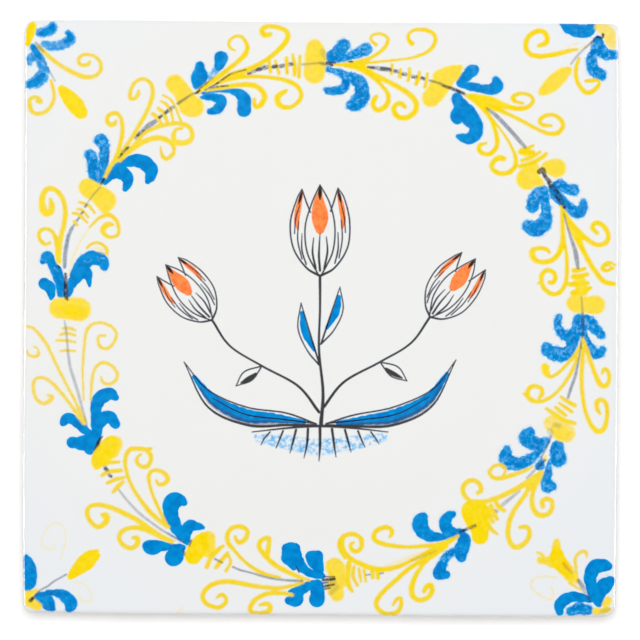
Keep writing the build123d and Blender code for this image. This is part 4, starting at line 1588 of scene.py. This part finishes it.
# %% Mix the glaze
clouds = noise(34.0, 2.0)
mottle = noise(1.8, 3.0, 0.6)
flecks = noise(0.74, 2.0, 0.55, shift=40.0)
streaks = noise(1.3, 3.0, 0.6, shift=75.0)
# Painted shade: the glaze is mixed bluer and a little darker with distance from a spot just above the
# middle, where the lamp's light falls fullest; the clouds make that reach uneven
from_middle = shader_tree.nodes.new("ShaderNodeVectorMath")
from_middle.operation = "DISTANCE"
least_shaded_place = (-5.0, 10.0, slab_thickness)
from_middle.inputs[1].default_value = least_shaded_place
shader_tree.links.new(in_mm.outputs[0], from_middle.inputs[0])
rim_painted_shade = ramp(sums("ADD", from_middle.outputs["Value"], sums("MULTIPLY", clouds, 16.0)), 58.0, 100.0)
glaze = blend(rim_painted_shade, colour(237.5, 238, 236), colour(234.2, 237.6, 241))
print("glaze mixed, nodes so far:", len(shader_tree.nodes))

# %% Lay the blue over the glaze
def ragged(name, how_much):
    """A pigment's amount with its edge broken up: noise is added in full half-way across the edge only."""
    amount = stored(name)
    across = sums("MULTIPLY", sums("MULTIPLY", amount, sums("SUBTRACT", 1.0, amount)), 4.0)
    broken = sums("MULTIPLY", sums("SUBTRACT", flecks, 0.5), how_much)
    return sums("ADD", amount, sums("MULTIPLY", broken, across))


grainy = stored("blue_coarse")
very_grainy = sums("MULTIPLY", grainy, grainy)
dry_patches = ramp(noise(4.2, 2.0, 0.5, shift=160.0), 0.40, 0.60)
deep_blue = blend(ramp(mottle, 0.40, 0.58), colour(0, 126, 203), colour(0, 144, 217))
dark_share = sums("ADD", 0.08, sums("MULTIPLY", grainy, 0.5))
dark_flecks = sums("MULTIPLY", sums("SUBTRACT", 1.0, ramp(flecks, 0.32, 0.48)), dark_share)
deep_blue = blend(dark_flecks, deep_blue, colour(0, 112, 190))
dryness = sums("MULTIPLY", very_grainy, sums("ADD", 0.26, sums("MULTIPLY", dry_patches, 0.56)))
pale_flecks = sums("MULTIPLY", ramp(flecks, 0.47, 0.66), sums("ADD", 0.008, dryness))
deep_blue = blend(pale_flecks, deep_blue, colour(104, 182, 242))
blue_amount = ragged("blue", sums("ADD", 0.4, sums("MULTIPLY", grainy, 1.4)))
skin = blend(ramp(blue_amount, 0.0, 0.42), glaze, colour(122, 194, 244))
skin = blend(ramp(blue_amount, 0.22, 0.9), skin, deep_blue)
print("blue laid, nodes so far:", len(shader_tree.nodes))

# %% Lay the yellow and the orange
washed_yellow = blend(ramp(streaks, 0.36, 0.62), colour(249, 215, 0), colour(251, 222, 4))
lined_yellow = blend(ramp(streaks, 0.38, 0.60), colour(246, 208, 2), colour(241, 215, 6))
warm_yellow = blend(stored("yellow_coarse"), washed_yellow, lined_yellow)
yellow_thickness = sums("ADD", 0.97, sums("MULTIPLY", ramp(mottle, 0.34, 0.56), 0.03))
yellow_amount = sums("MULTIPLY", ragged("yellow", 0.7), yellow_thickness)
skin = blend(yellow_amount, skin, warm_yellow)
warm_orange = blend(ramp(streaks, 0.38, 0.62), colour(250, 112, 20), colour(255, 140, 50))
skin = blend(stored("orange"), skin, warm_orange)
print("yellow and orange laid, nodes so far:", len(shader_tree.nodes))

# %% Draw the dark line over all
ink = stored("ink")
hairs = sums("ADD", sums("MULTIPLY", streaks, 0.5), sums("MULTIPLY", flecks, 0.5))
dry_brush = sums("SUBTRACT", 1.0, ramp(hairs, 0.40, 0.58))
dry_share = sums("MULTIPLY", sums("MULTIPLY", dry_brush, stored("ink_coarse")), 0.62)
thick_ink = blend(ramp(mottle, 0.4, 0.6), colour(62, 52, 54), colour(54, 60, 90))
thin_ink = blend(ramp(streaks, 0.40, 0.60), colour(84, 87, 100), colour(84, 97, 142))
ink_colour = blend(ramp(ink, 0.62, 0.86), thin_ink, thick_ink)
ink_colour = blend(ramp(ink, 0.95, 0.99), ink_colour, colour(50, 48, 44))
ink_amount = sums("MULTIPLY", ink, sums("SUBTRACT", 1.0, dry_share))
skin = blend(sums("MULTIPLY", ink_amount, 0.7), skin, ink_colour)
skin = blend(sums("MULTIPLY", ink_amount, 0.85), skin, ink_colour, "MULTIPLY")
print("dark line drawn, nodes so far:", len(shader_tree.nodes))

# %% Add the bare clay and the surface
glaze_end = sums("ADD", 0.75, sums("MULTIPLY", noise(5.0, 3.0, 0.6, shift=11.0), 2.2))
bare = ramp(sums("SUBTRACT", stored("below_rim"), glaze_end), -0.12, 0.12)
clay_blotch = noise(9.0, 4.0, 0.65, shift=23.0)
clay_grit = noise(0.7, 3.0, 0.7, shift=57.0)
clay = blend(ramp(clay_blotch, 0.3, 0.7), colour(214, 204, 188), colour(228, 220, 208))
clay = blend(sums("MULTIPLY", ramp(clay_grit, 0.58, 0.72), 0.5), clay, colour(176, 158, 136))

surface = shader_tree.nodes.new("ShaderNodeBsdfPrincipled")
plug(shader_tree, surface.inputs["Base Color"], blend(bare, skin, clay))
glaze_gloss = sums("ADD", 0.05, sums("MULTIPLY", ramp(noise(1.7, 2.0, 0.5, shift=90.0), 0.4, 0.7), 0.04))
gloss = sums("ADD", glaze_gloss, sums("MULTIPLY", stored("yellow"), 0.03))
plug(shader_tree, surface.inputs["Roughness"], sums("ADD", gloss, sums("MULTIPLY", bare, 0.8)))
glazed = sums("SUBTRACT", 1.0, bare)
peel = sums("MULTIPLY", noise(3.4, 1.0, 0.4, shift=130.0), sums("MULTIPLY", glazed, 0.012))
grit = sums("MULTIPLY", sums("ADD", clay_grit, clay_blotch), sums("MULTIPLY", bare, 0.16))
relief = shader_tree.nodes.new("ShaderNodeBump")
relief.inputs["Strength"].default_value = 1.0
relief.inputs["Distance"].default_value = 0.001
plug(shader_tree, relief.inputs["Height"], sums("ADD", peel, grit))
shader_tree.links.new(relief.outputs["Normal"], surface.inputs["Normal"])
output = shader_tree.nodes.new("ShaderNodeOutputMaterial")
shader_tree.links.new(surface.outputs["BSDF"], output.inputs["Surface"])
tile_mesh.materials.append(tile_material)
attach(tile, "root")
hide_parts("tile")
print("material nodes:", len(shader_tree.nodes))

# %% [markdown]
# ## The table, the light and the camera
# The tile lies on its back on a white table. An even white all round and one soft lamp light it, and the
# lamp hangs a little beyond the top edge, so that a short shadow falls under the bottom edge. Two long low
# panels left and right light nothing: they are only mirrored in the glaze, where they draw the thin bright
# line along the rolled edges, and the lamp isn't mirrored. The table is a brighter white where the camera
# or a mirror sees it, so that it bleaches out a few millimetres from the tile, but it lights the tile as
# plain paper would.

# %% Set the table
floor_mesh = bpy.data.meshes.new("table_top")
half_table = 1.5
table_corners = [(x * half_table, y * half_table, 0) for x, y in ((-1, -1), (1, -1), (1, 1), (-1, 1))]
floor_mesh.from_pydata(table_corners, [], [(0, 1, 2, 3)])
floor = bpy.data.objects.new("table_top", floor_mesh)
bpy.context.scene.collection.objects.link(floor)
floor_material = bpy.data.materials.new("white_paper")
floor_material.use_nodes = True
floor_tree = floor_material.node_tree
floor_tree.nodes.clear()
ray_kind = floor_tree.nodes.new("ShaderNodeLightPath").outputs
seen = sums("MAXIMUM", ray_kind["Is Camera Ray"], ray_kind["Is Glossy Ray"], tree=floor_tree)
seen = sums("MAXIMUM", seen, ray_kind["Is Transmission Ray"], tree=floor_tree)
paper = floor_tree.nodes.new("ShaderNodeBsdfDiffuse")
plain_paper, bright_paper = (0.8, 0.8, 0.8, 1), (1.0, 1.0, 1.0, 1)
plug(floor_tree, paper.inputs["Color"], blend(seen, plain_paper, bright_paper, tree=floor_tree))
paper_out = floor_tree.nodes.new("ShaderNodeOutputMaterial")
floor_tree.links.new(paper.outputs[0], paper_out.inputs["Surface"])
floor_mesh.materials.append(floor_material)
print("table half-width in metres:", half_table)

# %% Hang the lamps
room_strength, card_strength = 0.39, 0.38
world = bpy.data.worlds.new("even_white")
bpy.context.scene.world = world
world.use_nodes = True
sky = world.node_tree.nodes["Background"]
sky.inputs["Color"].default_value = (1, 1, 1, 1)
room = world.node_tree
upward = room.nodes.new("ShaderNodeSeparateXYZ")
room.links.new(room.nodes.new("ShaderNodeTexCoord").outputs["Generated"], upward.inputs[0])
dark_card = sums("MULTIPLY", ramp(upward.outputs["Z"], 0.45, 0.85, tree=room), card_strength, tree=room)
mirrored = room.nodes.new("ShaderNodeLightPath").outputs["Is Glossy Ray"]
dimmed = sums("MULTIPLY", mirrored, dark_card, tree=room)
plug(room, sky.inputs["Strength"], sums("SUBTRACT", room_strength, dimmed, tree=room))


def panel(name, where, size_x, size_y, power):
    """A soft rectangular lamp that faces the tile."""
    lamp = bpy.data.lights.new(name, "AREA")
    lamp.shape = "RECTANGLE"
    lamp.size, lamp.size_y = size_x, size_y
    lamp.energy = power
    holder = bpy.data.objects.new(name, lamp)
    holder.location = where
    holder.rotation_euler = (-Vector(where)).to_track_quat("-Z", "Y").to_euler()
    bpy.context.scene.collection.objects.link(holder)
    return holder


overhead = panel("overhead_lamp", (0.0, 0.15, 1.0), 0.54, 0.55, 7.5)
overhead.visible_glossy = False
for name, across in (("left_panel", -0.75), ("right_panel", 0.75)):
    panel(name, (across, 0.0, 0.11), 0.44, 0.14, 6.0).visible_diffuse = False

# %% Aim the camera
lens = 120.0
picture_width = 2 * picture_middle[0] / picture_points_per_mm
camera_data = bpy.data.cameras.new("from_above")
camera_data.lens = lens
camera_data.sensor_width = 36.0
camera_data.clip_start = 0.01
camera = bpy.data.objects.new("from_above", camera_data)
aim = on_tile(picture_middle)
camera_height = slab_thickness + picture_width * lens / camera_data.sensor_width
camera.location = (aim[0] / MM, aim[1] / MM, camera_height / MM)
camera.rotation_euler = (0.0, 0.0, picture_turn)
bpy.context.scene.collection.objects.link(camera)
bpy.context.scene.camera = camera
bpy.context.scene.view_settings.view_transform = "Standard"
print("camera height in mm:", round(camera.location.z * MM, 1))
